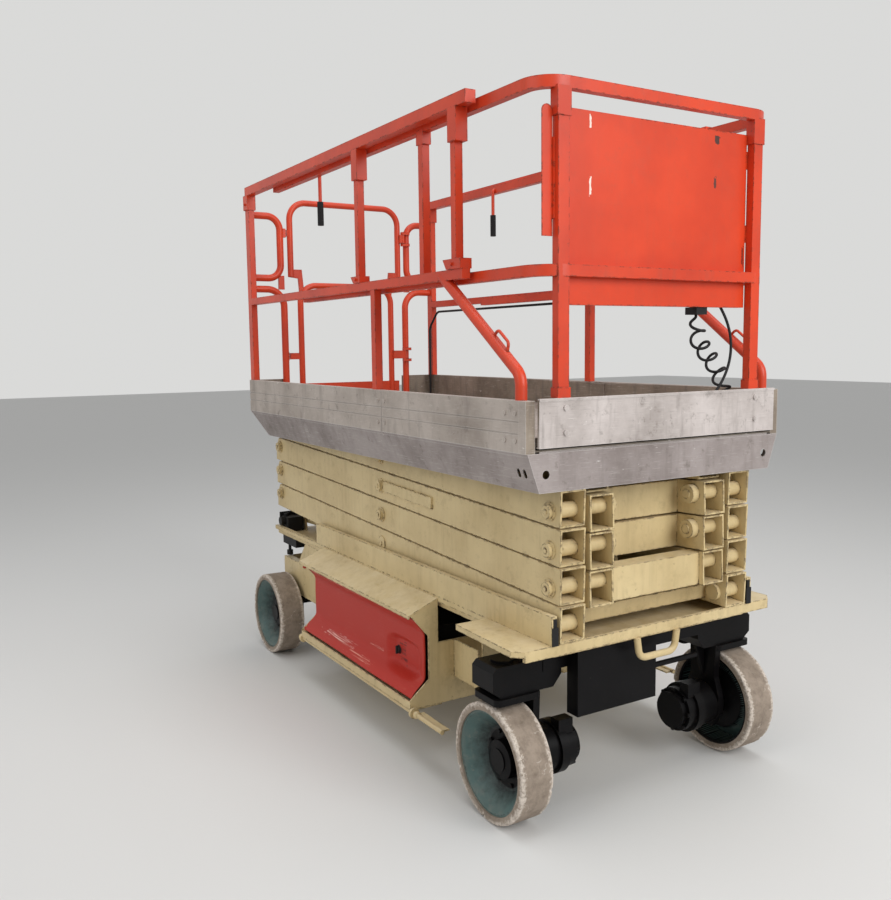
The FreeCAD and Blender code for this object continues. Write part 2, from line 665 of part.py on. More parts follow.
def front_axle():
    """Cross beam under the plate with a block at each end over its wheel."""
    w, b = BEAM_W / 2.0, BLOCK_W / 2.0
    beam = box(FRONT_X - w, -400, BEAM_Z0, FRONT_X + w, 400, PAN_Z0)
    z1 = BLOCK_Z0 + BLOCK_H
    line = [(WHEEL_Y - 200, BLOCK_Z0 + 40), (WHEEL_Y - 166, BLOCK_Z0), (BLOCK_OUT - 34, BLOCK_Z0),
            (BLOCK_OUT, BLOCK_Z0 + 26), (BLOCK_OUT, z1 - 16), (BLOCK_OUT - 16, z1),
            (WHEEL_Y - 200, z1)]
    block = poly(line, 0, FRONT_X - b, FRONT_X + b)
    block = block.cut(cyl((FRONT_X, KING_Y, BLOCK_Z0 - 5), (0, 0, 1), KING_R + KING_FIT, BLOCK_H - 15))
    cap = cyl((FRONT_X, KING_Y, z1 - 1), (0, 0, 1), 40.0, 9.0)
    post = box(FRONT_X - w, WHEEL_Y - 190, z1 - 5, FRONT_X + w, WHEEL_Y - 90, PAN_Z0)
    return fuse([beam, both(fuse([block, cap, post]))])


def steer_cylinder():
    """Steering cylinder on the front of the axle beam, behind its guard on the right side."""
    x, z = FRONT_X + BEAM_W / 2.0, BEAM_Z0 - 60
    top = PAN_Z0 - TOUCH
    guard = [box(x + 50, -300, z - 100, x + 58, 52, top),
             box(x, -300, z - 100, x + 54, -292, top),
             box(x, 44, z - 100, x + 54, 52, top)]
    barrel = [cyl((x + 26, -292, z), (0, 1, 0), 22.0, 340.0), cyl((x + 26, 40, z), (0, 1, 0), 10.0, 240.0)]
    brackets = [box(x - 6, y, z - 12, x + 26, y + 16, BEAM_Z0 + 4) for y in (-250.0, 0.0)]
    shape = fuse(guard + barrel + brackets)
    return shape.cut(box(FRONT_X - 10, -400, BEAM_Z0, x, 400, PAN_Z0))


def knuckle():
    """Left yoke: top plate and king pin over the wheel, leg inside it, motor and hub."""
    x, y, z = FRONT_X, KING_Y, WHEEL_R
    top = rounded(box(x - 74, LEG_Y, YOKE_Z, x + 74, y + 70, YOKE_Z + YOKE_T), 22.0, (0, 0, 1))
    king = cyl((x, y, YOKE_Z), (0, 0, 1), KING_R, YOKE_T + BLOCK_H - 34)
    leg = poly([(x - 66, YOKE_Z + YOKE_T), (x + 66, YOKE_Z + YOKE_T), (x + 60, z + 110),
                (x + 84, z + 40), (x + 84, z - 30), (x + 50, z - 84), (x - 50, z - 84),
                (x - 84, z - 30), (x - 84, z + 40), (x - 60, z + 110)], 1, LEG_Y, LEG_Y + LEG_T)
    rib = poly([(LEG_Y - 44, YOKE_Z + YOKE_T), (LEG_Y + 2, YOKE_Z + YOKE_T), (LEG_Y + 2, z + 96)],
               0, x - 8, x + 8)
    cap_y = MOTOR_IN
    motor = [cyl((x, cap_y + 22, z), (0, 1, 0), MOTOR_R - 12, LEG_Y - cap_y - 20),
             cyl((x, cap_y + 60, z), (0, 1, 0), MOTOR_R, 34.0),
             cyl((x, cap_y, z), (0, 1, 0), MOTOR_R - 26, 24.0),
             box(x + 20, cap_y + 30, z + 60, x + 64, cap_y + 90, z + 112)]
    bolts = [cyl((x + a, cap_y + 14, z + b), (0, 1, 0), BOLT_R, 12.0) for a, b in ring_of(8, MOTOR_R - 20)]
    hub = [cyl((x, LEG_Y + 4, z), (0, 1, 0), SPINDLE_R, WHEEL_Y - 56 - LEG_Y),
           cyl((x, WHEEL_Y - 56, z), (0, 1, 0), HUB_R, 44.0)]
    arm = rounded(box(x - 170, LEG_Y - 40, YOKE_Z + 2, x - 60, LEG_Y + 8, YOKE_Z + 18), 14.0, (0, 0, 1))
    ball = cyl((x - 152, LEG_Y - 20, YOKE_Z - 10), (0, 0, 1), 13.0, 36.0)
    return fuse([top, king, leg, rib, arm, ball] + motor + bolts + hub)


def rear_axle():
    """Fixed axle tube between the chassis feet, with a plate and hub behind each wheel."""
    x, z = REAR_X, WHEEL_R
    beam = box(x - 45, -FOOT_Y - 40, SPINE_Z0 - AXLE_H, x + 45, FOOT_Y + 40, SPINE_Z0)
    plate = poly([(x - 80, SPINE_Z0), (x + 80, SPINE_Z0), (x + 80, z - 53), (x + 40, z - 83),
                  (x - 40, z - 83), (x - 80, z - 53)], 1, FOOT_Y + 15, FOOT_Y + 32)
    hub = [cyl((x, FOOT_Y + 30, z), (0, 1, 0), SPINDLE_R, WHEEL_Y - 52 - FOOT_Y - 30),
           cyl((x, WHEEL_Y - 56, z), (0, 1, 0), HUB_R, 44.0)]
    return fuse([beam, both(fuse([plate] + hub))])


def wheel(x, s):
    """Solid tyre and dished disc; s is the side, outer face away from the machine."""
    c, w, r = WHEEL_Y, WHEEL_W / 2.0, WHEEL_R
    rim = r - TREAD
    seat = HUB_R + RUN_FIT

    def turned(outline):
        pts = [V(x + a, c + b, r) for a, b in outline]
        return Part.Face(Part.makePolygon(pts + pts[:1])).revolve(V(x, 0, r), V(0, 1, 0), 360)

    tyre = turned([(rim, -w), (r - 6, -w), (r, 7 - w), (r, w - 7), (r - 6, w), (rim, w)])
    disc = turned([(rim, 4 - w), (rim, w - 8), (rim - 8, w - 8), (108, -10), (66, -18), (66, 12),
                   (40, 18), (seat, 18), (seat, -48), (SPINDLE_R + 3, -48), (SPINDLE_R + 3, -38),
                   (116, -24), (rim - 8, w - 22), (rim - 8, 4 - w)])
    nuts = [cyl((x + a, c - 25, r + b), (0, 1, 0), 8.0, 18.0) for a, b in ring_of(8, 90.0, 22.5)]
    disc = fuse([disc, cyl((x, c + 12, r), (0, 1, 0), 40.0, 10.0)] + nuts)
    if s < 0:
        return mirror_y(tyre), mirror_y(disc)
    return tyre, disc


def tow_loop():
    """A bent round bar under the lip of the chassis plate."""
    x, z = PLATE_FRONT - LIP_T + 1.0 + TOW_R + TOUCH, PLATE_Z - LIP_H
    shape = tube([(x, -92, z), (x, -80, z - 74), (x, 80, z - 74), (x, 92, z)], 34.0, TOW_R)
    return shape.cut(box(x - 20, -120, z, x + 20, 120, z + 20))


def ground_station():
    """Control box for lowering from the ground, on the right rear corner of the plate."""
    x, y, z = PLATE_REAR, -SIDE_Y, PAN_Z
    body = rounded(box(x + 7, y + 33, z, x + 95, y + 125, z + 78), 8.0, (0, 0, 1))
    cowl = box(x + 1, y + 25, z + 20, x + 7, y + 131, z + 98)
    switch = cyl((x + 55, y + 7, z + 58), (0, 1, 0), 22.0, 28.0)
    button = cyl((x + 25, y + 55, z + 76), (0, 0, 1), 14.0, 16.0)
    valve = box(x + 60, y + 20, PAN_Z0 - 44, x + 240, y + 110, PAN_Z0)
    stem = cyl((x + 75, y + 50, PAN_Z0 - 90), (0, 0, 1), 8.0, 50.0)
    knob = cyl((x + 75, y + 50, PAN_Z0 - 110), (0, 0, 1), 16.0, 24.0)
    return fuse([body, cowl, switch, button, valve, stem, knob])


def ladder():
    """Two rungs between cheeks under the entry end."""
    z = PLATE_Z - 70
    toe = z - LADDER_DROP - LADDER_TOE
    line = [(PLATE_REAR - 1, z), (SPINE_REAR, z), (SPINE_REAR, z - LADDER_DROP), (PLATE_REAR - 15, toe),
            (PLATE_REAR - LADDER_OUT, toe + 10)]
    out = [both(poly(line, 1, LADDER_Y, LADDER_Y + 10))]
    for x, down in ((PLATE_REAR - 31, LADDER_DROP), (PLATE_REAR + 10, 60.0)):
        out.append(box(x - 22, -LADDER_Y - 5, z - down, x + 22, LADDER_Y + 5, z - down + 22))
    return fuse(out)


# platform

def platform_frame():
    """Bent sheet skirts, inward of the toe boards at the bottom, on cross bearers."""
    x, y, t = DECK_X - SHEET, DECK_Y - SHEET, SHEET
    z0, z1 = SKIRT_Z0, SKIRT_Z1
    skirt = poly([(y, z1), (y + t, z1), (y + t - SKIRT_IN, z0), (y - SKIRT_IN, z0)], 0, -x, x)
    slant = poly([(-x - 14, z1 + 10), (-x, z1), (SKIRT_SLANT - DECK_X, z0 - 8), (-x - 14, z0 - 8)],
                 1, y - 80, y + 40)
    slots = [rounded(box(a - 9, y - 70, z0 + 44, a + 9, y + 40, z0 + 74), 8.0, (0, 1, 0))
             for a in (DECK_X - 46, DECK_X - 78)]
    side = [cut(skirt, [slant] + slots),
            box(-x, y - 104, BEARER_Z, x, y - 44, BEARER_Z + BEARER_H),
            box(-x, y - 51, z1 - 10, x, y + 1, z1)]
    front = poly([(-DECK_Y, z1), (DECK_Y, z1), (DECK_Y - SKIRT_IN, z0), (SKIRT_IN - DECK_Y, z0)],
                 0, x, DECK_X)
    holes = [cyl((x - 6, s * (DECK_Y - 70), z0 + 57), (1, 0, 0), SKIRT_HOLE_R, 20.0) for s in (-1, 1)]
    bearers = [box(a, -y + 101, BEARER_Z, a + 40, y - 101, BEARER_Z + BEARER_H)
               for a in [-x + i * (2 * x - 40) / 5.0 for i in range(6)]]
    return fuse([both(fuse(side)), cut(front, holes)] + bearers)


def platform_channels():
    """Channels under the bearers that the top inner arm's rollers run in."""
    y0, y1, t = IN_Y - 34.0, IN_Y - 6.0, 5.0
    z0, z1 = TOP_PIN_Z - TOP_ROLLER_R - 0.5, TOP_PIN_Z + TOP_ROLLER_R + 0.5
    shape = box(CHANNEL_REAR, y0, z0 - t, DECK_X - 10, y1, BEARER_Z)
    rooms = [box(CHANNEL_REAR - 5, y0 + t, z0, DECK_X, y1 + 5, z1),
             box(CHANNEL_REAR - 5, y0 + t, z1 + t, DECK_X, y1 + 5, BEARER_Z + 5)]
    return both(cut(shape, rooms))


def platform_brackets():
    """Cheeks and pins under the rear of the platform for the top outer arm."""
    line = [(-PIN_X - 48, BEARER_Z), (74 - PIN_X, BEARER_Z), (34 - PIN_X, TOP_PIN_Z - 34),
            (-PIN_X - 26, TOP_PIN_Z - 34)]
    side = [poly(line, 1, OUT_Y - 17, OUT_Y - 6), poly(line, 1, ARM_Y1 + 6, ARM_Y1 + 17),
            cyl((-PIN_X, OUT_Y - 17, TOP_PIN_Z), (0, 1, 0), PIN_R, ARM_W + 34.0)]
    return both(fuse(side))


def deck_floor():
    """Floor sheet on the bearers, with a raised tread plate where the extension doesn't cover it."""
    x, y = DECK_X - SHEET, DECK_Y - TOE_T - 6.3
    sheet = box(GATE_X - LOOP_R + TOUCH, -y, FLOOR_Z - FLOOR_T, x, y, FLOOR_Z)
    tread = box(GATE_X + 40, -y + 60, FLOOR_Z - 1, EXT_X0 - 10, y - 60, TREAD_Z)
    return fuse([sheet, tread])


def toe_boards():
    """Grooved boards in two lengths along each side, with end posts and a rear return."""
    y0, y1 = DECK_Y - TOE_T, DECK_Y
    x = DECK_X - SHEET
    boards = [box(a, y0, SKIRT_Z1, b, y1, TOE_Z1) for a, b in ((-DECK_X, SEAM_X - 1.5), (SEAM_X + 1.5, x))]
    grooves = [box(-DECK_X - 5, y1 - 3, FLOOR_Z + z, DECK_X + 5, y1 + 5, FLOOR_Z + z + 5)
               for z in (46.0, 84.0)]
    post = box(x - 38, y0 - 6, SKIRT_Z1, x, y1 + 4, TOE_Z1)
    seam = box(SEAM_X - 45, y0 - 6, FLOOR_Z, SEAM_X + 45, y0 + 2, TOE_Z1 - 6)
    bolts = [cyl((a, y1 - 4, FLOOR_Z + z), (0, 1, 0), BOLT_R - 1, 9.0)
             for a in (x - 117, x - 60, SEAM_X - 28, SEAM_X + 28) for z in (27.0, 112.0)]
    rear = box(-DECK_X, ARCH_Y - 15, FLOOR_Z - 4.7, GATE_X - LOOP_R - TOUCH, y0 + 2, TOE_Z1)
    return both(fuse([cut(fuse(boards), grooves), post, seam, rear] + bolts))


def side_rails():
    """Left side rails with posts, folding joints, lock pins and the bent brace at the front."""
    x, y, w, h = DECK_X, RAIL_Y, RAIL_W / 2.0, RAIL_H / 2.0
    p = POST_W / 2.0
    rear = 25 - DECK_X
    mid0, mid1 = MID_Z - MID_H / 2.0, MID_Z + MID_H / 2.0
    under = TOP_Z - h
    upper, lower, front = SEAM_X - UPPER_POST_SET, SEAM_X - LOWER_POST_SET, x - FRONT_POST_SET
    out = [box(rear, y - w, under, x - TOP_RAIL_SET, y + w, TOP_Z + h),
           box(rear, y - w + 4, mid0, x - MID_RAIL_SET, y + w - 4, mid1)]
    posts = [(rear - 15, rear + 35, TOE_Z1, MID_Z), (rear - 15, rear + 35, MID_Z, under),
             (upper, upper + POST_W, MID_Z, under), (lower, lower + LOWER_POST_L, TOE_Z1, MID_Z),
             (front, front + FRONT_POST_L, MID_Z, under)]
    out += [box(x0, y - p, z0, x1, y + p, z1) for x0, x1, z0, z1 in posts]
    sleeves = [(rear - 19, rear + 39, 72), (upper - 5, upper + POST_W + 15, 119),
               (front - 5, front + FRONT_POST_L + 20, 108)]
    out += [box(x0, y - w - 3, under - drop, x1, y + w + 3, under + 1) for x0, x1, drop in sleeves]
    for x0, x1, rise in ((upper - 11, upper + POST_W + 19, 26), (front - 23, front + FRONT_POST_L + 38, 34)):
        joint = [(x0, mid1), (x1, mid1), (x1, mid1 + rise), (x0 - 22, mid1 + rise)]
        out.append(poly(joint, 1, y - w - 3, y + w + 3))
    out.append(tube([(x - BRACE_SET, y, MID_Z), (x - BRACE_FOOT, y, MID_Z - BRACE_DROP),
                     (x - BRACE_FOOT, y, TOE_Z1)], 60.0, BRACE_R))
    down = math.atan(BRACE_DROP / (BRACE_SET - BRACE_FOOT))

    def on_brace(s, off):
        return (x - BRACE_SET + s * math.cos(down) + off * math.sin(down), y,
                MID_Z - s * math.sin(down) + off * math.cos(down))

    ring = [on_brace(RING_AT, 0), on_brace(RING_AT + 14, RING_OUT),
            on_brace(RING_AT + RING_L - 16, RING_OUT), on_brace(RING_AT + RING_L, 0)]
    out.append(tube(ring, 16.0, 5.0))
    for pin, z in ((rear + 10, under - 44), (upper + 15, mid1 + 13), (front + 14, mid1 + 17)):
        out.append(cyl((pin, y - w - 8, z), (0, 1, 0), 6.0, RAIL_W + 18))
    return fuse(out)


def hinge_heights():
    """Bottom and top of each gate hinge."""
    return [(FLOOR_Z + z, FLOOR_Z + z + 46.0) for z in (250.0, 898.0)]


def rear_loop(side):
    """Fixed round-tube frames between a rear post and the gate; side 1 is left, with the hinge."""
    x, r, post = GATE_X, LOOP_R, RAIL_Y - POST_W / 2.0
    z0, z1 = MID_Z + 126, TOP_Z - RAIL_H / 2.0 - 92
    loop = tube([(x, post, z1), (x, LOOP_Y, z1), (x, LOOP_Y, z0), (x, post, z0)], 70.0, r)
    arch = tube([(x, post, z0 - 58), (x, ARCH_Y, z0 - 58), (x, ARCH_Y, FLOOR_Z)], 90.0, r)
    out = [loop, arch, box(x - 8, ARCH_Y - 3, z0 - 58, x + 8, LOOP_Y + 14, z0 + 14)]
    for low, high in hinge_heights():
        if side > 0:
            for a, b in ((low - 16, low - TOUCH), (high + TOUCH, high + 16)):
                out.append(box(HINGE_X - 12, HINGE_Y - 9, a, HINGE_X + 9, LOOP_Y + 6, b))
            out.append(cyl((HINGE_X, HINGE_Y, low - 12), (0, 0, 1), HINGE_R, high - low + 24))
        else:
            out.append(box(x - 8, ARCH_Y - 18, low, x + 8, ARCH_Y + 1, high))
    shape = fuse(out)
    return shape if side > 0 else mirror_y(shape)


def gate():
    """Two bent tubes, one over the other, with side gussets, hinge knuckles and a toe plate."""
    x, r = GATE_X, GATE_R
    sill, waist = TREAD_Z + 8, MID_Z + 135
    upper = tube([(x, -GATE_Y, waist), (x, -GATE_Y, GATE_TOP_Z), (x, GATE_Y, GATE_TOP_Z),
                  (x, GATE_Y, waist)], 90.0, r)
    y, low_top = GATE_LOW_Y, MID_Z + 92
    lower = tube([(x, -y, sill + 20), (x, -y, low_top), (x, y, low_top), (x, y, sill + 20)], 90.0, r)
    gusset = [(GATE_Y + 14, waist + 40), (GATE_Y + 14, waist), (y + 10, waist - 7),
              (y + 2, low_top - 72), (y - 22, low_top - 52), (y - 10, waist + 40)]
    out = [upper, lower, both(poly(gusset, 0, x - 7, x + 7)),
           box(x - 4, -GATE_Y + 4, sill, x + 4, GATE_Y - 4, sill + 113),
           box(x - 14, -GATE_Y + 4, sill + 105, x + 4, GATE_Y - 4, sill + 113)]
    bores = []
    for (low, high), leg in zip(hinge_heights(), (y, GATE_Y)):
        out.append(box(HINGE_X - 10, leg + 3, low + TOUCH, HINGE_X + 6, HINGE_Y, high - TOUCH))
        out.append(box(x - 2, leg + 1, low + TOUCH, HINGE_X + 6, leg + 24, high - TOUCH))
        out.append(cyl((HINGE_X, HINGE_Y, low + TOUCH), (0, 0, 1), HINGE_R + 4, high - low - 2 * TOUCH))
        out.append(box(x - 7, 24 - ARCH_Y, low + 6, x + 7, 2 - leg, high - 6))
        bores.append(cyl((HINGE_X, HINGE_Y, low - 2), (0, 0, 1), HINGE_R + RUN_FIT, 60.0))
    return cut(fuse(out), bores)


def side_cable():
    """Cable clipped along the left side under the middle rail."""
    y = RAIL_Y - BRACE_R - 6 - TOUCH
    x, z = 50 - DECK_X, MID_Z - 45
    return tube([(x, y, FLOOR_Z), (x, y, z - 90), (x + 90, y, z), (DECK_X - 390, y, z)], 60.0, 6.0)


def extension_deck():
    """Sliding deck on shoes, with turned-up edges and the kick plate across its front."""
    y, z0, z1 = EXT_Y + 20, EXT_Z, EXT_Z + EXT_T
    face = DECK_X + 2
    out = [box(EXT_X0, -y, z0, DECK_X, y, z1)]
    out.append(both(box(EXT_X0, y - 4, z0, DECK_X, y, z0 + 32)))
    out += [both(box(x, 430, FLOOR_Z + TOUCH, x + 60, 470, z0 + 1)) for x in (EXT_X0 + 20, EXT_X0 + 800, DECK_X - 100)]
    kick = y + 10
    out.append(box(face, -kick, z0, face + 10, kick, z0 + KICK_H))
    out.append(box(DECK_X - 4, -kick, z0, face + 10, kick, z1))
    out.append(box(face + 10, -kick, z0 + KICK_H - 8, face + 13, kick, z0 + KICK_H))
    out += [cyl((face + 8, s * EXT_POST_Y, z0 + z), (1, 0, 0), BOLT_R, 8.0) for s in (-1, 1)
            for z in (45.0, 122.0)]
    return fuse(out)


def extension_rails():
    """Top and middle rails bent round the front, with front and side posts."""
    x, y = DECK_X - 10, EXT_Y
    w, h = EXT_RAIL_W, EXT_RAIL_H
    out = [level_rail([(x0, -y, z), (x, -y, z), (x, y, z), (x0, y, z)], EXT_BEND, w, h)
           for z, x0 in ((EXT_TOP_Z, EXT_X0 - EXT_TOP_BACK), (EXT_MID_Z, EXT_X0 - EXT_MID_BACK))]
    c, p = EXT_POST_Y, EXT_POST_W / 2.0
    top, post = EXT_TOP_Z - h / 2.0 + 4, x - EXT_SIDE_SET
    side = [box(x - 18, c - p, EXT_Z + EXT_T, x + 12, c + p, top),
            box(x - 21, c - p - 5, top - 84, x + 15, c + p + 5, top + 2),
            box(x - 21, c - p - 4, EXT_Z + KICK_H, x + 15, c + p + 4, EXT_Z + KICK_H + 32),
            box(post, y - w / 2.0, EXT_MID_Z, post + w, y + w / 2.0, EXT_TOP_Z),
            box(post - 10, y - w / 2.0 - 2, top - 46, post + w + 10, y + w / 2.0 + 2, top + 4)]
    return fuse(out + [both(fuse(side))])


def front_panel():
    """Pressed tray between the front posts, with ears on them and a flap on the right."""
    x, y, t = PANEL_X, PANEL_Y, SHEET
    z1 = EXT_TOP_Z - 65
    z0 = z1 - PANEL_H
    back = x - PANEL_RIM
    face = box(x, -y, z0, x + t, y, z1)
    rim = [both(box(back, y - t, z0, x, y, z1)),
           box(back, -y, z0, x, y, z0 + t), box(back, -y, z1 - t, x, y, z1)]
    ears = [both(box(x - 2, y - 2, z0 + z, x + 2, y + 28, z0 + z + 60)) for z in (225.0, 475.0)]
    edge, hang = -EXT_POST_Y - EXT_POST_W / 2.0, 5.0 + TOUCH
    flap = [box(x + t, edge - hang - FLAP_W, z1 - FLAP_H, x + 2 * t, edge - hang, z1 - FLAP_W / 2.0),
            cyl((x + t, edge - hang - FLAP_W / 2.0, z1 - FLAP_W / 2.0), (1, 0, 0), FLAP_W / 2.0, t),
            box(x + t, edge - hang - 1, z1 - 335, x + 16, edge, z1 - 95)]
    return fuse([face] + rim + ears + flap)


def swing_handle():
    """A bent rod with a grip that hangs from the extension's top rail."""
    x, y, z = EXT_X0 - 15, EXT_Y - 24, EXT_TOP_Z
    rod = tube([(x, y + 24, z), (x, y, z), (x, y, z - 226)], 14.0, 8.0)
    grip = cyl((x, y, z - 230), (0, 0, 1), 14.0, 104.0)
    return fuse([rod, grip]).cut(box(x - 20, EXT_Y - EXT_RAIL_W / 2.0, z - 60, x + 20, EXT_Y + 20, z + 40))


def control_box():
    """Operator's box behind the panel: joystick, stop button and the cord's gland below."""
    x, z = PANEL_X - PANEL_RIM - TOUCH, EXT_TOP_Z - BOX_DROP
    body = rounded(box(x - 74, -160, z - 180, x, 60, z), 10.0, (0, 1, 0))
    base = box(x - 54, -140, z - 202, x - 6, 40, z - 178)
    stick = [cyl((x - 44, -90, z - 2), (0, 0, 1), 17.0, 16.0), cyl((x - 44, -90, z + 10), (0, 0, 1), 9.0, 30.0),
             cyl((x - 44, -90, z + 32), (0, 0, 1), 16.0, 28.0)]
    stop = cyl((x - 44, 10, z - 2), (0, 0, 1), 20.0, 22.0)
    gland = cyl((x - 25, GLAND_Y, z - 214), (0, 0, 1), 11.0, 14.0)
    hook = box(x - 10, -100, z - 100, x + PANEL_RIM + TOUCH, 0, z - 60)
    return fuse([body, base, stop, gland, hook] + stick)


def cord_start():
    """The gland's lower end, where the plain cord leaves the control box."""
    return (PANEL_X - PANEL_RIM - TOUCH - 25, GLAND_Y, EXT_TOP_Z - BOX_DROP - 214)


def cord_lead_points():
    x, y, z = cord_start()
    return [(x, y, z), (x, y, z - 58), (1168, 88, 1926),
            (1169, 138, 1893), (1170, 185, 1856), (1172, 232, 1815),
            (1176, 278, 1770), (1183, 320, 1718), (1196, 350, 1657), (1205, 362, 1592),
            (1208, 356, 1528), (1206, 334, 1468), (1200, 300, 1416), (1188, 262, 1374),
            (1170, 232, 1337), (1152, 219, 1309), (1144, 230, 1288)]


def cord_lead():
    """Plain cord from the gland down to the curly one, lying on the extension's deck."""
    points = cord_lead_points()
    return tube(points, cord_bends(points), CORD_R)


def curl_points():
    x, y, z = PANEL_X - 30, PLUG_Y, EXT_TOP_Z - 65 - PANEL_H - 25
    return [(1136, 246, 1312), (1134, 330, 1312), (1134, 392, 1350), (1137, 400, 1420),
            (1143, 366, 1482), (1152, 310, 1532), (1168, 250, 1574), (x, y, z - 58), (x, y, z)]


def cord_curl():
    """The curly cord's outer shape."""
    points = curl_points()
    return tube(points, cord_bends(points), CURL_R)


def connector():
    """Plug socket behind the panel's lower edge that the curly cord hangs from."""
    x, z = PANEL_X, EXT_TOP_Z - 65 - PANEL_H
    return box(x - 56, PLUG_Y - 25, z - 25, x - 2, PLUG_Y + 25, z)


def main():
    os.makedirs(OUT, exist_ok=True)
    frame = chassis_frame()
    save("chassis_frame", frame)
    save("slide_channels", slide_channels())
    save("channel_stops", channel_stops())
    save("pivot_brackets", pivot_brackets())
    for name, shape in (("side_box", side_box()), ("door", side_door()), ("pothole_bar", hole_guard()),
                        ("knuckle", knuckle()), ("side_rails", side_rails())):
        save(name + "_left", shape)
        save(name + "_right", mirror_y(shape))
    save("battery_block", battery_block())
    save("hydraulic_block", hydraulic_block())
    save("front_axle", front_axle())
    save("steer_cylinder", steer_cylinder())
    save("rear_axle", rear_axle().cut(frame))
    save("tow_loop", tow_loop())
    save("ground_station", ground_station())
    save("ladder", ladder())
    for end, x in (("front", FRONT_X), ("rear", REAR_X)):
        for side, s in (("left", 1), ("right", -1)):
            tyre, disc = wheel(x, s)
            save("tyre_" + end + "_" + side, tyre)
            save("wheel_disc_" + end + "_" + side, disc)
    for k in range(1, STAGES + 1):
        save("outer_arm_%d" % k, outer_arm(k))
        save("inner_arm_%d" % k, inner_arm(k))
    shell, rod = cylinder_parts()
    save("lift_barrel", shell)
    save("lift_rod", rod)
    save("platform_frame", platform_frame())
    save("platform_channels", platform_channels())
    save("platform_brackets", platform_brackets())
    save("deck_floor", deck_floor())
    save("toe_boards", toe_boards())
    save("rear_loop_left", rear_loop(1))
    save("rear_loop_right", rear_loop(-1))
    save("side_cable", side_cable())
    save("gate", gate())
    save("extension_deck", extension_deck())
    save("extension_rails", extension_rails())
    save("front_panel", front_panel())
    save("swing_handles", both(swing_handle()))
    save("control_box", control_box())
    save("cord_lead", cord_lead())
    save("cord_curl", cord_curl())
    save("cord_connector", connector())
    for name, points in (("cord_lead", cord_lead_points()), ("cord_curl", curl_points())):
        print(name, [round(r, 1) for r in cord_bends(points)])


main()
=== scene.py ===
"""Looks of a worn electric scissor lift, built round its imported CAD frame."""
import json
import math

import bmesh
import bpy
import numpy as np
from bpy.props import FloatProperty, FloatVectorProperty, IntProperty, PointerProperty
from bpy.types import Operator, Panel, PropertyGroup
from mathutils import Matrix, Vector


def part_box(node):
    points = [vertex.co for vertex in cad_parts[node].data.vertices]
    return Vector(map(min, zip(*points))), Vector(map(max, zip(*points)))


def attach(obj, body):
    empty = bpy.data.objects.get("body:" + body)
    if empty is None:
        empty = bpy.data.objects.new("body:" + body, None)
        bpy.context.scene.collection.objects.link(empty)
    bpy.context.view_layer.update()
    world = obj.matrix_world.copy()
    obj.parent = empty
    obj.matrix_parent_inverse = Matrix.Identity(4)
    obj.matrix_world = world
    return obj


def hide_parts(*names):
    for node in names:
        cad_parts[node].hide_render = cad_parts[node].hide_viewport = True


bl_info = {
    "name": "Scissor lift",
    "version": (1, 0, 0),
    "blender": (4, 5, 0),
    "location": "3D View > Sidebar > Scissor Lift",
    "description": "Dresses the scissor lift's frame with tyres, doors, a cord and worn finishes",
    "category": "Object",
}

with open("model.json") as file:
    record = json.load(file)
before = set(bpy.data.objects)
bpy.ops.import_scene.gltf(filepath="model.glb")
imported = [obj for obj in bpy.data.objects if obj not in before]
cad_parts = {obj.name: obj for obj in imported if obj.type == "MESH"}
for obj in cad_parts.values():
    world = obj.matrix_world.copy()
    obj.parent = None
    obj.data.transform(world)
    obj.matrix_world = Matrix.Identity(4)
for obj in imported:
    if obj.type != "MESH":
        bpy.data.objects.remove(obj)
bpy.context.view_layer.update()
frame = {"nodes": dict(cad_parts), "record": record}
NODES = frame["nodes"]
SIDES = (("left", 1.0), ("right", -1.0))

# lengths are in metres, and angles in degrees unless a comment says otherwise

# wheels: where the axles stand along the machine, how far out a wheel's middle is, the edge of the
# black hub, how far the grease on it creeps, and how far inboard of its middle the dish is painted
AXLES = (("front", 1.05), ("rear", -1.03))
WHEEL_RADIUS = 0.203
WHEEL_MIDDLE = 0.522
HUB_EDGE = 0.098
GREASE_EDGE = 0.150
DISH_BACK = 0.015

# tyres: rubber over the rim, the shoulder's radius, how far the walls stand in from the tread's
# edge, how far a tear reaches from the shoulder, the seed of the tears, the height of the waves
# worn into the tread and how near to its surface they are
RUBBER_DEPTH = 0.028
SHOULDER = 0.008
WALL_SET = 0.001
TEAR_REACH = 0.015
TEAR_SEED = 11
TREAD_WAVE = 0.0012
TREAD_NEAR = 0.002

# platform: a toe board's wall, its bright top edge, the outer face of the extension's front board,
# the height over its deck's underside from which that is stained, and where a handle's grip ends
BOARD_WALL = 0.012
BOARD_EDGE = 0.002
BOARD_FACE = 0.010
DECK_RISE = 0.030
GRIP_TOP = 2.236

# doors: the bent skin's line as (height, distance out), its wall, the blur of its bends, the radius
# of its rims, the gap at its hinge and the waves of its moulding
DOOR_LINE = np.array(((0.240, 0.574), (0.254, 0.574), (0.304, 0.514), (0.494, 0.514), (0.552, 0.560)))
DOOR_FLAT = 0.514
DOOR_WALL = 0.009
DOOR_BEND = 0.010
DOOR_RIM = 0.004
DOOR_GAP = 0.005
DOOR_WAVE = 0.0012

# the dished pocket in a door: how far behind the door's front edge, its height and half sizes, its
# depth, how square its outline is, where 2 is an ellipse, where its wall starts as a share of those
# half sizes, and the share of them over which it falls
POCKET_BACK = 0.161
POCKET_HEIGHT = 0.356
POCKET_REACH = (0.135, 0.072)
POCKET_DEPTH = 0.024
POCKET_SQUARE = 3.5
POCKET_LIP = 1.12
POCKET_SLOPE = 0.42

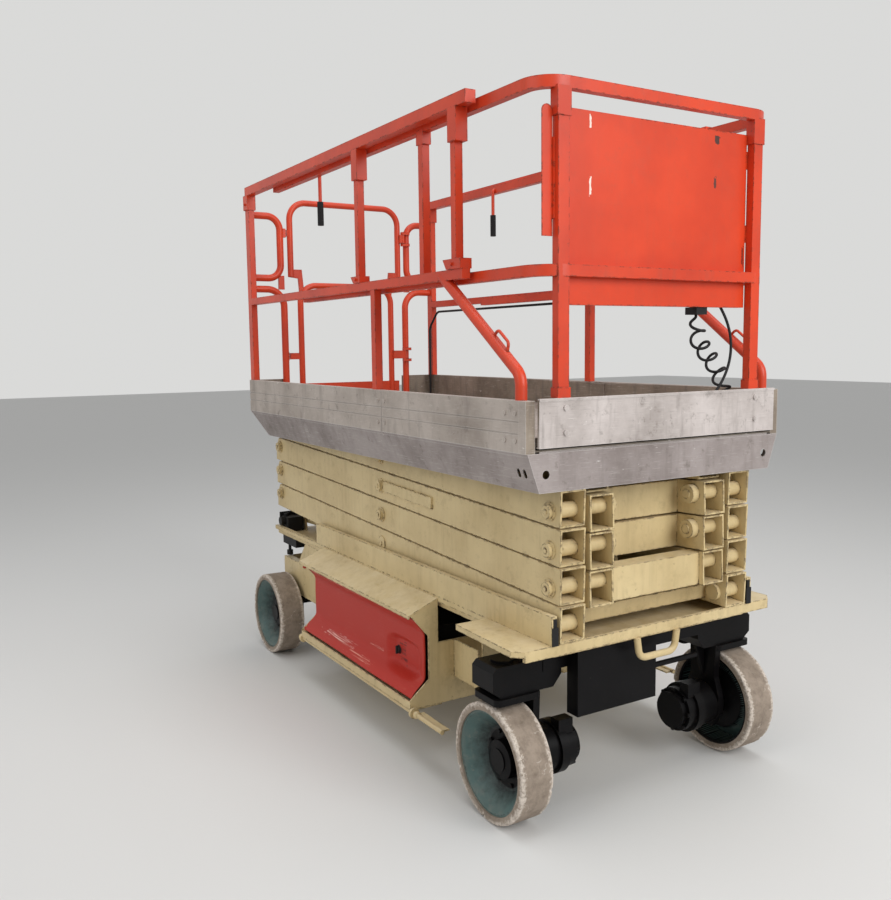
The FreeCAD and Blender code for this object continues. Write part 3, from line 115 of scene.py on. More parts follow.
# hinge knuckles and latch: heights and place of the knuckles, how far the latch is behind the
# pocket's middle and sunk under its floor, and outlines as (distance along the axis, radius)
KNUCKLE_HEIGHTS = (0.238, 0.542)
KNUCKLE_IN = 0.009
KNUCKLE_OUT = 0.566
KNUCKLE = ((0, 0.0005), (0, 0.008), (0.001, 0.009), (0.017, 0.009), (0.018, 0.008), (0.018, 0.0005))
LATCH_BACK = 0.083
LATCH_SUNK = 0.002
LATCH_KNOB = ((0, 0.0005), (0, 0.019), (0.003, 0.019), (0.005, 0.016), (0.011, 0.015), (0.013, 0.013),
              (0.013, 0.0005))
LEVER_STEPS = (-0.017, -0.016, -0.008, 0.008, 0.016, 0.017)
LEVER_OUT = 0.015
LEVER_RADIUS = 0.005

# control cord: the route's points from its gland down to the deck, those of its curly length, the
# coils' radius, what they clear the CAD's tube by, their points a turn, and the number of equal
# shares of their length of which the first and the last are where they open and close
LEAD = [(1.1707, 0.020, 2.016), (1.1707, 0.020, 1.958), (1.168, 0.088, 1.926), (1.169, 0.138, 1.893),
        (1.170, 0.185, 1.856), (1.172, 0.232, 1.815), (1.176, 0.278, 1.770), (1.183, 0.320, 1.718),
        (1.196, 0.350, 1.657), (1.205, 0.362, 1.592), (1.208, 0.356, 1.528), (1.206, 0.334, 1.468),
        (1.200, 0.300, 1.416), (1.188, 0.262, 1.374), (1.170, 0.232, 1.337), (1.152, 0.219, 1.309),
        (1.144, 0.230, 1.288)]
CURL = [(1.136, 0.246, 1.312), (1.134, 0.330, 1.312), (1.134, 0.392, 1.350), (1.137, 0.400, 1.420),
        (1.143, 0.366, 1.482), (1.152, 0.310, 1.532), (1.168, 0.250, 1.574), (1.190, 0.200, 1.622),
        (1.190, 0.200, 1.680)]
CURL_RADIUS = 0.034
CURL_CLEAR = 0.001
POINTS_A_TURN = 14
CURL_SHARES = 14.0

# stage: half the floor's width, the lamps as (name, place, size, watts), the point they face, the
# cone they shine in, and the room's colour as it lights the machine and as it is seen
FLOOR_HALF = 30.0
LAMPS = (("key", (6.5, 1.0, 4.0), 4.0, 108.0), ("fill", (0.5, -6.5, 4.5), 5.0, 38.0),
         ("top", (0.5, 0.0, 7.5), 6.0, 82.0))
LAMP_AIM = (0.0, 0.0, 1.1)
LAMP_CONE = 110.0
ROOM_LIGHT = (0.50, 0.50, 0.50, 1.0)
ROOM_SEEN = (0.70, 0.70, 0.69, 1.0)

# camera: the picture's size, focal length and the column its axis meets, all in pixels, the film's
# height in millimetres, and the eye's place and turns, in radians, as fitted to the photograph
PICTURE = (891.0, 900.0)
FOCAL = 925.27
AXIS_COLUMN = 457.51
FILM = 36.0
EYE = (3.5073, -2.1935, 1.5847)
YAW, PITCH, ROLL = 1.0204, 0.1129, -0.011

CREASE = 40.0


# sizes and colours

def linear(code):
    """An sRGB hex colour as linear red, green, blue and alpha."""
    value = np.array([int(code[i:i + 2], 16) / 255.0 for i in (1, 3, 5)])
    value = np.where(value <= 0.04045, value / 12.92, ((value + 0.055) / 1.055) ** 2.4)
    return (*map(float, value), 1.0)


class LiftSizes(PropertyGroup):
    """Sizes that a user may change, in metres."""
    tyre_radius: FloatProperty(name="Tyre radius", description="Outside radius of the solid tyres",
                               default=WHEEL_RADIUS, subtype="DISTANCE", unit="LENGTH")
    tyre_width: FloatProperty(name="Tyre width", description="Width of a tyre across its tread",
                              default=0.125, subtype="DISTANCE", unit="LENGTH")
    tyre_chips: FloatProperty(name="Tyre chips", description="Depth of the pieces torn from a tyre's edges",
                              default=0.014, subtype="DISTANCE", unit="LENGTH")
    cord_width: FloatProperty(name="Cord width", description="Diameter of the control cord",
                              default=0.01, subtype="DISTANCE", unit="LENGTH")
    curl_turns: IntProperty(name="Curl turns", description="Turns in the curly part of the control cord",
                            default=8, min=3)


class LiftColours(PropertyGroup):
    """Colours that a user may change."""
    floor: FloatVectorProperty(name="Floor", description="Colour of the studio floor",
                               default=(0.68, 0.68, 0.67), subtype="COLOR", size=3)


# surfaces

def surface(name, points, wrap_u=False, wrap_v=False, marks=None):
    """A mesh from a grid of points: each face joins a point to the next in its row and column, and
    wrap_u and wrap_v join the last row and column to the first. marks are names of attributes, each
    with one value for every point."""
    rows, columns = points.shape[:2]
    u = np.arange(rows if wrap_u else rows - 1)
    v = np.arange(columns if wrap_v else columns - 1)
    i, j = np.meshgrid(u, v, indexing="ij")
    i2, j2 = (i + 1) % rows, (j + 1) % columns
    faces = np.stack([i * columns + j, i2 * columns + j, i2 * columns + j2, i * columns + j2], axis=-1)
    mesh = bpy.data.meshes.new(name)
    mesh.from_pydata(points.reshape(-1, 3), [], faces.reshape(-1, 4).tolist())
    for key, values in (marks or {}).items():
        mesh.attributes.new(key, "FLOAT", "POINT").data.foreach_set("value", values.ravel())
    mesh.polygons.foreach_set("use_smooth", np.ones(len(mesh.polygons), dtype=bool))
    mesh.set_sharp_from_angle(angle=math.radians(CREASE))
    mesh.update()
    made = bpy.data.objects.new(name, mesh)
    bpy.context.scene.collection.objects.link(made)
    return made


def welded(made, crease):
    """Merges the points that meet at a surface's edges, turns its faces outwards and keeps edges
    sharper than crease hard."""
    shell = bmesh.new()
    shell.from_mesh(made.data)
    bmesh.ops.remove_doubles(shell, verts=shell.verts, dist=1e-5)
    bmesh.ops.recalc_face_normals(shell, faces=shell.faces)
    shell.to_mesh(made.data)
    shell.free()
    made.data.set_sharp_from_angle(angle=math.radians(crease))
    made.data.update()
    return made


def turned(name, outline, centre, axis, steps):
    """A lathed surface: the outline, as (distance along the axis, radius), is carried round the
    axis, so a point is the centre, plus its distance along the axis, plus its radius times the
    cosine and sine of the turn on two directions square to the axis."""
    outline = np.asarray(outline, dtype=float)
    axis = np.asarray(axis, dtype=float)
    side = np.cross(axis, (0.0, 0.0, 1.0) if abs(axis[2]) < 0.9 else (1.0, 0.0, 0.0))
    side /= np.linalg.norm(side)
    up = np.cross(axis, side)
    turn = np.linspace(0.0, 2.0 * np.pi, steps, endpoint=False)[:, None, None]
    ring = np.cos(turn) * side + np.sin(turn) * up
    points = np.asarray(centre) + outline[None, :, :1] * axis + outline[None, :, 1:] * ring
    return surface(name, points, wrap_u=True)


def tube_along(name, path, radius, steps, upright):
    """A round tube: rings of that radius stand square to the path, on directions found from its
    slope and upright, and the first and last shrink to close its ends."""
    path = np.asarray(path, dtype=float)
    ahead = np.gradient(path, axis=0)
    ahead /= np.linalg.norm(ahead, axis=1, keepdims=True)
    side = np.cross(ahead, upright)
    side /= np.linalg.norm(side, axis=1, keepdims=True)
    up = np.cross(side, ahead)
    turn = np.linspace(0.0, 2.0 * np.pi, steps, endpoint=False)
    size = np.full(len(path), radius)
    size[[0, -1]] = radius * 0.02
    ring = np.cos(turn)[None, :, None] * side[:, None] + np.sin(turn)[None, :, None] * up[:, None]
    return surface(name, path[:, None] + size[:, None, None] * ring, wrap_v=True)


def joined(name, parts):
    """Several objects as one, with its own name."""
    for made in parts:
        made.select_set(True)
    bpy.context.view_layer.objects.active = parts[0]
    with bpy.context.temp_override(active_object=parts[0], selected_editable_objects=parts):
        bpy.ops.object.join()
    parts[0].name = name
    parts[0].data.name = name
    parts[0].select_set(False)
    return parts[0]


def finish_with(made, material, body):
    """Gives a new piece its material and the CAD body it rides on."""
    made.data.materials.clear()
    made.data.materials.append(material)
    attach(made, body)


# materials

def add(tree, kind, ins=None, out=0, **settings):
    """Adds a shader node and hands back its output out, or the node itself where out is None. ins
    maps its inputs to a value or to the output that feeds them."""
    made = tree.nodes.new("ShaderNode" + kind)
    for key, value in settings.items():
        setattr(made, key, value)
    for key, value in (ins or {}).items():
        if isinstance(value, bpy.types.NodeSocket):
            tree.links.new(value, made.inputs[key])
        else:
            made.inputs[key].default_value = value
    return made if out is None else made.outputs[out]


def begun(name):
    """An empty material, its tree and the outputs of the object's own coordinates."""
    material = bpy.data.materials.new(name)
    material.use_nodes = True
    tree = material.node_tree
    tree.nodes.clear()
    return material, tree, add(tree, "TexCoord", out=None).outputs


def ended(material, ins):
    """The material, once its tree ends in one shader with these inputs."""
    tree = material.node_tree
    add(tree, "OutputMaterial", {"Surface": add(tree, "BsdfPrincipled", ins)}, out=None)
    return material


def layered(tree, base, *layers):
    """Colours laid one over another on base. Each layer is an sRGB hex colour and the masks whose
    product says how much of it lies there."""
    for colour, where, *others in layers:
        for other in others:
            where = add(tree, "Math", {0: where, 1: other}, operation="MULTIPLY")
        base = add(tree, "Mix", {0: where, 6: base, 7: linear(colour)}, out=2, data_type="RGBA")
    return base


def patches(tree, own, size_mm, low=0.0, high=1.0, to=(0.0, 1.0), detail=4.0, rough=0.55):
    """A mask of patches size_mm across, or of three such sizes, one for each axis. It goes over the
    range to while the noise goes from low to high, and stops there."""
    if isinstance(size_mm, tuple):
        own = add(tree, "Mapping", {"Vector": own, "Scale": [1000.0 / size for size in size_mm]})
        size_mm = 1000.0
    noise = add(tree, "TexNoise", {"Vector": own, "Scale": 1000.0 / size_mm, "Detail": detail,
                                   "Roughness": rough})
    return add(tree, "MapRange", {0: noise, 1: low, 2: high, 3: to[0], 4: to[1]})


def edges(tree, radius_mm):
    """1 along the edges of a piece and 0 on its flats: there a normal that is rounded over
    radius_mm leaves the true one, and their dot product falls below 1."""
    soft = add(tree, "Bevel", {"Radius": radius_mm / 1000.0}, samples=4)
    true = add(tree, "NewGeometry", out="Normal")
    along = add(tree, "VectorMath", {0: soft, 1: true}, out="Value", operation="DOT_PRODUCT")
    return add(tree, "MapRange", {0: along, 1: 0.995, 2: 0.90})


def spot(tree, own, axes, middle, half, fray_mm=12.0):
    """1 inside a frayed rectangle across two axes and 0 outside it: on each axis the distance from
    the middle, stretched by noise fray_mm across, is held against half the size."""
    apart = add(tree, "SeparateXYZ", {0: own}, out=None).outputs
    fray = patches(tree, own, fray_mm, 0.3, 0.7, (0.7, 1.5))
    inside = []
    for axis, centre, reach in zip(axes, middle, half):
        off = add(tree, "Math", {0: apart[axis], 1: centre}, operation="SUBTRACT")
        off = add(tree, "Math", {0: off}, operation="ABSOLUTE")
        off = add(tree, "Math", {0: off, 1: fray}, operation="MULTIPLY")
        inside.append(add(tree, "Math", {0: off, 1: reach}, operation="LESS_THAN"))
    return add(tree, "Math", {0: inside[0], 1: inside[1]}, operation="MULTIPLY")


def hub_grease(tree, own, x, z, near, far):
    """1 within near of a wheel's axle, which runs across the machine at x and z, and 0 beyond far,
    where the distance from it is blurred by 14 mm each way."""
    apart = add(tree, "VectorMath", {0: own, 1: (x, 0.0, z)}, operation="SUBTRACT")
    flat = add(tree, "VectorMath", {0: apart, 1: (1.0, 0.0, 1.0)}, operation="MULTIPLY")
    away = add(tree, "VectorMath", {0: flat}, out="Value", operation="LENGTH")
    blur = patches(tree, own, 30.0, 0.3, 0.7, (-0.014, 0.014), detail=5.0, rough=0.7)
    away = add(tree, "Math", {0: away, 1: blur}, operation="ADD")
    return add(tree, "MapRange", {0: away, 1: far, 2: near})


def enamel(name, coat, faded, under, dust, chips, grime, rough, top_dust_and_light, gloss, top_light=None, marks=(), hubs=()):
    """Sprayed enamel on steel: fades in patches, chips along its edges down to rust, and gathers
    stains, drips of grime on its sides and dust on what lies flat. Where a finish gives a paler colour
    for what faces up, that colour takes the dust's place there as painted light falling on top faces.
    marks are scars and holes, each as (y, z, half width, half height, sRGB colour), a hole's dark
    colour being painted shade inside it, and hubs are greased axles, each as (x, z, near, far)."""
    material, tree, place = begun(name)
    own = place["Object"]
    # drips run down the sides, 25 mm wide and some 400 mm long
    drips = add(tree, "Math", {0: patches(tree, own, (25.0, 25.0, 400.0), 0.46, 0.72, (0.0, 0.7), 5.0),
                               1: patches(tree, own, 150.0, 0.40, 0.64, detail=6.0, rough=0.65)},
                operation="MULTIPLY")
    stains = patches(tree, own, 70.0, 0.52, 0.68, (0.0, 0.7), 9.0, 0.75)
    soil = add(tree, "Math", {0: drips, 1: stains}, operation="MAXIMUM")
    soil = add(tree, "Math", {0: soil, 1: grime}, operation="MULTIPLY")
    up = add(tree, "SeparateXYZ", {0: place["Normal"]}, out="Z")
    lying = add(tree, "MapRange", {0: up, 1: 0.55, 2: 0.95})
    # edges are rubbed over 8 mm, and the chips there are 5 to 25 mm across
    flakes = patches(tree, own, 24.0, detail=8.0, rough=0.72)
    reach = add(tree, "Math", {0: edges(tree, 8.0), 1: 0.24 * chips + 0.02, 2: flakes},
                operation="MULTIPLY_ADD")
    rubbed = add(tree, "MapRange", {0: reach, 1: 0.62, 2: 0.72, 4: 0.6})
    bare = add(tree, "MapRange", {0: reach, 1: 0.695, 2: 0.72})
    # on what faces up, a finish's paler top colour, where it gives one, is painted light in the dust's place
    base = layered(
        tree, linear(coat), (faded, patches(tree, own, 260.0, 0.38, 0.66)), (dust, soil),
        (top_light or dust, lying, patches(tree, own, 60.0, 0.30, 0.70, detail=6.0, rough=0.7), top_dust_and_light),
        (dust, rubbed), (under, bare),
        *((colour, spot(tree, own, "YZ", (y, z), (wide, high))) for y, z, wide, high, colour in marks),
        *(("#131415", hub_grease(tree, own, *hub)) for hub in hubs))
    spoiled = add(tree, "Math", {0: soil, 1: bare}, operation="MAXIMUM")
    # orange peel from the spray gun, dents 160 mm across, and chips sunk by the coat's thickness
    peel = add(tree, "Bump", {"Strength": 0.12, "Distance": 0.0006,
                              "Height": patches(tree, own, 6.0, detail=2.0)})
    dents = add(tree, "Bump", {"Strength": 0.3, "Distance": 0.004, "Normal": peel,
                               "Height": patches(tree, own, 160.0, detail=2.0)})
    sunk = add(tree, "Bump", {"Strength": 0.5, "Distance": 0.0008, "Normal": dents, "Height": bare},
               invert=True)
    return ended(material, {"Base Color": base, "IOR": 1.5, "Specular IOR Level": gloss, "Normal": sunk,
                            "Roughness": add(tree, "MapRange", {0: spoiled, 3: rough[0], 4: rough[1]})})


def mill_aluminium(name, metal, stain, drip):
    """Extruded aluminium left bare for years: dull, oxidised in clouds, scratched along its length
    and dirty in drips and patches."""
    material, tree, place = begun(name)
    own = place["Object"]
    cloud = patches(tree, own, 230.0, detail=7.0, rough=0.62)
    # scratches lie along the board, 2 mm high and some 60 mm long
    drawn = patches(tree, own, (62.5, 62.5, 2.381), detail=3.0)
    base = layered(
        tree, linear(metal), (stain, add(tree, "MapRange", {0: cloud, 1: 0.38, 2: 0.70})),
        ("#E2DDD8", add(tree, "MapRange", {0: drawn, 1: 0.60, 2: 0.78, 4: 0.5})),
        ("#756B66", add(tree, "MapRange", {0: drawn, 1: 0.40, 2: 0.24, 4: 0.35})),
        ("#6A605A", patches(tree, own, (38.46, 38.46, 285.7), 0.54, 0.76, (0.0, drip), 6.0, 0.6)),
        ("#62584F", patches(tree, own, 48.0, 0.57, 0.70, (0.0, 0.65), 8.0, 0.75)),
        ("#F0ECE8", patches(tree, own, (50.0, 50.0, 18.18), 0.62, 0.67, (0.0, 0.75), 9.0, 0.82)),
        ("#DDD9D5", edges(tree, 4.0), 0.5))
    lines = add(tree, "Bump", {"Strength": 0.25, "Distance": 0.0006, "Height": drawn})
    dents = add(tree, "Bump", {"Strength": 0.35, "Distance": 0.004, "Normal": lines,
                               "Height": patches(tree, own, 120.0, detail=3.0)})
    return ended(material, {"Base Color": base, "Metallic": 0.25, "Normal": dents, "Roughness": add(
        tree, "MapRange", {0: cloud, 1: 0.3, 2: 0.7, 3: 0.45, 4: 0.68})})


def moulded(name, colour, scuffed, rough, pebble_mm, scuffs, marks=()):
    """Moulded polyethylene or ABS: one colour through, with a fine pebble and pale scuffs. marks
    are streaks and smudges, each as (x, z, half length, half height, sRGB colour)."""
    material, tree, place = begun(name)
    own = place["Object"]
    # scratches are 60 mm long and 5 mm high, and the streaks inside a mark 110 mm long and 3 mm high
    base = layered(
        tree, linear(colour),
        (scuffed, patches(tree, own, (60.0, 21.43, 5.0), 0.56, 0.68, detail=8.0, rough=0.7), scuffs,
         patches(tree, own, 110.0, 0.42, 0.70, detail=6.0, rough=0.65)),
        (scuffed, edges(tree, 6.0), 0.55 * scuffs),
        (scuffed, patches(tree, own, 22.0, 0.66, 0.70, (0.0, scuffs), 7.0, 0.8)),
        *((shade, spot(tree, own, "XZ", (x, z), (wide, high), 30.0),
           patches(tree, own, (111.1, 16.67, 3.03), 0.48, 0.66, rough=0.6))
          for x, z, wide, high, shade in marks))
    pebble = add(tree, "Bump", {"Strength": 0.2, "Distance": 0.0004,
                                "Height": patches(tree, own, pebble_mm, detail=2.0)})
    return ended(material, {"Base Color": base, "Roughness": rough, "IOR": 1.5,
                            "Specular IOR Level": 0.35, "Normal": pebble})


def worn_rubber(name, rubber, dirt, torn):
    """Vulcanised rubber: matt, dusty, scored and cracked, and pale where its shoulders are torn,
    which the attribute torn gives."""
    material, tree, place = begun(name)
    own = place["Object"]
    # cracks follow the sides of cells 67 mm across, bent by noise so that none is straight
    bend = add(tree, "TexNoise", {"Vector": own, "Scale": 22.0, "Detail": 4.0}, out="Color")
    bent = add(tree, "VectorMath", {0: bend, 1: (0.07, 0.07, 0.07), 2: own}, operation="MULTIPLY_ADD")
    sides = add(tree, "TexVoronoi", {"Vector": bent, "Scale": 15.0}, out="Distance",
                feature="DISTANCE_TO_EDGE")
    crack = add(tree, "Math", {0: add(tree, "MapRange", {0: sides, 1: 0.022, 2: 0.006}),
                               1: patches(tree, own, 70.0, 0.52, 0.60)}, operation="MULTIPLY")
    ragged = add(tree, "Math", {0: add(tree, "Attribute", out="Fac", attribute_name="torn"),
                                1: patches(tree, own, 10.0, 0.3, 0.7, (-0.3, 0.3), 6.0, 0.75)},
                 operation="ADD")
    cuts = patches(tree, own, 9.0, detail=5.0, rough=0.7)
    base = layered(
        tree, linear(rubber), (dirt, patches(tree, own, 45.0, 0.42, 0.68, detail=7.0, rough=0.7)),
        (torn, crack, 0.5), (torn, add(tree, "MapRange", {0: ragged, 1: 0.20, 2: 0.50, 4: 0.95})),
        ("#4E4740", add(tree, "MapRange", {0: cuts, 1: 0.66, 2: 0.74, 4: 0.6})))
    height = add(tree, "Math", {0: cuts, 1: crack}, operation="SUBTRACT")
    scored = add(tree, "Bump", {"Strength": 0.6, "Distance": 0.0015, "Height": height})
    return ended(material, {"Base Color": base, "Roughness": 0.85, "IOR": 1.52,
                            "Specular IOR Level": 0.3, "Normal": scored})


def steel(name, colour, rough):
    """Turned or plated steel: a bright metal with clouds of wear and specks of rust."""
    material, tree, place = begun(name)
    own = place["Object"]
    specks = patches(tree, own, 7.0, 0.60, 0.70, (0.0, 0.7), 5.0, 0.7)
    base = layered(tree, linear(colour), ("#5A4434", specks))
    wear = patches(tree, own, 25.0, 0.3, 0.7, (rough - 0.08, rough + 0.12))
    return ended(material, {"Base Color": base, "Roughness": wear, "Metallic": 0.9})


def tread_plate(name):
    """Aluminium tread plate: rubbed bars some 22 mm apart along the deck and 36 mm across it, over
    a floor that is dark with old dirt."""
    material, tree, place = begun(name)
    own = place["Object"]
    cells = add(tree, "Mapping", {"Vector": own, "Scale": (45.0, 28.0, 1.0)})
    bars = add(tree, "TexVoronoi", {"Vector": cells, "Scale": 1.0}, out="Distance")
    bar = add(tree, "MapRange", {0: bars, 1: 0.22, 2: 0.14})
    base = layered(tree, linear("#6E6459"), ("#8B8378", patches(tree, own, 200.0, 0.4, 0.65, detail=6.0)),
                   ("#A9A59E", bar, 0.6))
    raised = add(tree, "Bump", {"Strength": 0.6, "Distance": 0.0015, "Height": bar})
    return ended(material, {"Base Color": base, "Roughness": 0.6, "Metallic": 0.3, "Normal": raised})


# bare scratches on the front panel, and holes painted dark as the shade inside them,
# as (y, z, half width, half height, colour)
PANEL_MARKS = ((-0.300, 2.263, 0.004, 0.021, "#F0DDD0"), (-0.300, 2.071, 0.004, 0.029, "#F0DDD0"),
               (0.386, 1.882, 0.004, 0.032, "#6B2415"), (0.252, 2.263, 0.012, 0.014, "#4A2A22"),
               (0.245, 2.120, 0.006, 0.020, "#5A3028"))
# pale streaks on a door and the dirt round its latch, as (x, z, half length, half height, colour)
DOOR_MARKS = ((-0.200, 0.284, 0.160, 0.010, "#F0C9BD"), (0.020, 0.268, 0.120, 0.009, "#E39C89"),
              (-0.330, 0.530, 0.400, 0.012, "#DE8F7E"), (0.110, 0.330, 0.060, 0.006, "#EFC4B6"),
              (0.300, 0.352, 0.026, 0.038, "#2A0F0C"))
HUBS = tuple((x, WHEEL_RADIUS, HUB_EDGE, GREASE_EDGE) for _, x in AXLES)

FINISHES = {
    # enamel that was sprayed on bright, and is now half gloss with dull, dirty patches
    "orange enamel": (enamel, dict(
        coat="#D9431F", faded="#C43A1E", under="#5A2A1C", dust="#8F4A38", chips=0.62, grime=0.34,
        rough=(0.34, 0.7), top_dust_and_light=0.25, gloss=0.4)),
    "panel enamel": (enamel, dict(
        coat="#D84018", faded="#C83814", under="#5A2A1C", dust="#A04E36", chips=0.62, grime=0.24,
        rough=(0.38, 0.7), top_dust_and_light=0.2, gloss=0.4, marks=PANEL_MARKS)),
    # the cream's pale colour on faces that look up is painted light falling on its tops
    "cream enamel": (enamel, dict(
        coat="#D6C192", faded="#C7B182", under="#46342A", dust="#857150", chips=0.68, grime=0.45,
        rough=(0.42, 0.75), top_dust_and_light=0.80, gloss=0.4, top_light="#E3D3B2")),
    "black enamel": (enamel, dict(
        coat="#090809", faded="#0F0E10", under="#241C17", dust="#1C1A18", chips=0.4, grime=0.30,
        rough=(0.36, 0.8), top_dust_and_light=0.35, gloss=0.12)),
    "wheel enamel": (enamel, dict(
        coat="#526B68", faded="#435956", under="#23211F", dust="#8F897F", chips=0.6, grime=0.50,
        rough=(0.45, 0.8), top_dust_and_light=0.3, gloss=0.35, hubs=HUBS)),
    # aluminium as it left the mill, dull and warm grey under years of oxide and handling
    "mill aluminium": (mill_aluminium, dict(metal="#BEB3AA", stain="#9C9188", drip=0.45)),
    "rubbed aluminium": (mill_aluminium, dict(metal="#CFC6C2", stain="#A89F9A", drip=0.50)),
    "weathered aluminium": (mill_aluminium, dict(metal="#A69C99", stain="#857B77", drip=0.35)),
    "stained aluminium": (mill_aluminium, dict(metal="#9A8D7E", stain="#6E6053", drip=0.85)),
    "tread plate": (tread_plate, {}),
    # plastics from a mould: soft sheen, one colour through, paler where they are scuffed
    "moulded polyethylene": (moulded, dict(
        colour="#B62818", scuffed="#D0725C", rough=0.45, pebble_mm=4.0, scuffs=0.5, marks=DOOR_MARKS)),
    "abs": (moulded, dict(colour="#111112", scuffed="#343331", rough=0.6, pebble_mm=2.0, scuffs=0.4)),
    "battery case": (moulded, dict(
        colour="#161719", scuffed="#403E3A", rough=0.6, pebble_mm=3.0, scuffs=0.5)),
    # rubber from a press: matt, so that it shows its cuts and dust and hardly a highlight
    "non-marking rubber": (worn_rubber, dict(rubber="#9A8C7E", dirt="#7C6F62", torn="#D3C8BC")),
    "grip rubber": (moulded, dict(
        colour="#161617", scuffed="#343230", rough=0.75, pebble_mm=2.0, scuffs=0.4)),
    "cable sheath": (moulded, dict(
        colour="#101012", scuffed="#2A2928", rough=0.6, pebble_mm=1.5, scuffs=0.3)),
    # a ground and plated rod: bright, with clear reflections
    "polished rod": (steel, dict(colour="#B9B9B8", rough=0.22)),
}

SLOT_FINISH = {
    "cream": "cream enamel", "orange": "orange enamel", "grey_boards": "mill aluminium",
    "deck_sheet": "tread plate", "black_steel": "black enamel", "red_cover": "moulded polyethylene",
    "tyre_rubber": "non-marking rubber", "wheel_paint": "wheel enamel", "black_plastic": "abs",
    "grip_rubber": "grip rubber", "bright_steel": "polished rod", "battery_case": "battery case",
    "cable_sheath": "cable sheath",
}


def finish(name):
    """The named finish, made the first time it is asked for."""
    make, looks = FINISHES[name]
    return bpy.data.materials.get(name) or make(name, **looks)


def part_finish(node, name, choose):
    """Lays a second finish on the faces that choose picks from their middles."""
    mesh = node.data
    at = np.empty(len(mesh.polygons) * 3)
    mesh.polygons.foreach_get("center", at)
    at = at.reshape(-1, 3) @ np.array(node.matrix_world.to_3x3()).T + np.array(node.matrix_world.translation)
    mesh.materials.append(finish(name))
    index = np.empty(len(mesh.polygons), dtype=np.int32)
    mesh.polygons.foreach_get("material_index", index)
    index[choose(at)] = len(mesh.materials) - 1
    mesh.polygons.foreach_set("material_index", index)
    mesh.update()


# steps

class LIFT_OT_studio(Operator):
    """A plain pale floor, soft lamps and a camera at the photograph's angle"""
    bl_idname = "lift.studio"
    bl_label = "Studio"

    def execute(self, context):
        scene = context.scene
        scene.view_settings.view_transform = "Standard"
        corners = [[(-1, -1, 0), (-1, 1, 0)], [(1, -1, 0), (1, 1, 0)]]
        floor = surface("floor", np.array(corners, dtype=float) * FLOOR_HALF)
        material, _, _ = begun("pale floor")
        floor.data.materials.append(
            ended(material, {"Base Color": (*scene.lift_colours.floor, 1.0), "Roughness": 0.9}))
        self.room(scene)
        for name, place, size, power in LAMPS:
            lamp = bpy.data.lights.new(name, "AREA")
            lamp.energy = power
            lamp.size = size
            lamp.spread = math.radians(LAMP_CONE)
            holder = bpy.data.objects.new(name, lamp)
            scene.collection.objects.link(holder)
            holder.location = place
            holder.rotation_euler = (Vector(LAMP_AIM) - Vector(place)).to_track_quat("-Z", "Y").to_euler()
        self.camera(scene)
        return {"FINISHED"}

    def room(self, scene):
        """A dim room for the light, and a pale one for what is seen straight, in a reflection or
        through a clear piece."""
        world = bpy.data.worlds.new("soft room")
        scene.world = world
        world.use_nodes = True
        tree = world.node_tree
        tree.nodes.clear()
        path = add(tree, "LightPath", out=None).outputs
        seen = add(tree, "Math", {0: path["Is Camera Ray"], 1: path["Is Glossy Ray"]}, operation="ADD")
        seen = add(tree, "Math", {0: seen, 1: path["Is Transmission Ray"]}, operation="ADD", use_clamp=True)
        glow = add(tree, "Mix", {0: seen, 6: ROOM_LIGHT, 7: ROOM_SEEN}, out=2, data_type="RGBA")
        sky = add(tree, "Background", {"Color": glow, "Strength": 1.0})
        add(tree, "OutputWorld", {"Surface": sky}, out=None)

    def camera(self, scene):
        """The camera looks ahead along its yaw and pitch, and its right and up are turned by its roll."""
        ahead = Vector((-math.sin(YAW) * math.cos(PITCH), math.cos(YAW) * math.cos(PITCH), -math.sin(PITCH)))
        level = ahead.cross(Vector((0, 0, 1))).normalized()
        upright = level.cross(ahead)
        right = level * math.cos(ROLL) + upright * math.sin(ROLL)
        up = upright * math.cos(ROLL) - level * math.sin(ROLL)
        lens = bpy.data.cameras.new("camera")
        lens.sensor_fit = "VERTICAL"
        lens.sensor_height = FILM
        lens.lens = FILM * FOCAL / PICTURE[1]
        lens.shift_x = -(AXIS_COLUMN - PICTURE[0] / 2.0) / PICTURE[1]
        eye = bpy.data.objects.new("camera", lens)
        scene.collection.objects.link(eye)
        eye.matrix_world = Matrix.Translation(EYE) @ Matrix((right, up, -ahead)).transposed().to_4x4()
        scene.camera = eye


class LIFT_OT_cords(Operator):
    """The control cord, plain from its gland and then curly up to its plug"""
    bl_idname = "lift.cords"
    bl_label = "Cords"

    def execute(self, context):
        sizes = context.scene.lift_sizes
        width = sizes.cord_width
        coils = curled(CURL, CURL_RADIUS - width / 2.0 - CURL_CLEAR, sizes.curl_turns)
        # the first two points of the coils lie where the lead ends
        points = LEAD + [tuple(point) for point in coils[2:]]
        cord = spline("control_cord", points, width)
        finish_with(cord, finish("cable sheath"), "extension")
        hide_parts("cord_lead", "cord_curl")
        length = float(np.linalg.norm(np.diff(line_of(points), axis=0), axis=1).sum())
        return {"FINISHED"}


def spline(name, points, width):
    """A curve of one open NURBS spline with those control points, as thick as width. Its order and
    its ends are set once its points are there, because set before they don't hold."""
    data = bpy.data.curves.new(name, "CURVE")
    data.dimensions = "3D"
    run = data.splines.new("NURBS")
    run.points.add(len(points) - 1)
    run.points.foreach_set("co", np.c_[np.asarray(points), np.ones(len(points))].ravel())
    run.order_u = 3
    run.use_endpoint_u = True
    run.resolution_u = 8
    data.bevel_depth = width / 2.0
    data.bevel_resolution = 3
    data.use_fill_caps = True
    made = bpy.data.objects.new(name, data)
    bpy.context.scene.collection.objects.link(made)
    return made


def line_of(points):
    """Points along the smooth line of a route's NURBS spline."""
    probe = spline("probe", points, 0.0)
    mesh = bpy.data.meshes.new_from_object(probe)
    line = np.empty(len(mesh.vertices) * 3)
    mesh.vertices.foreach_get("co", line)
    bpy.data.objects.remove(probe)
    bpy.data.meshes.remove(mesh)
    return line.reshape(-1, 3)


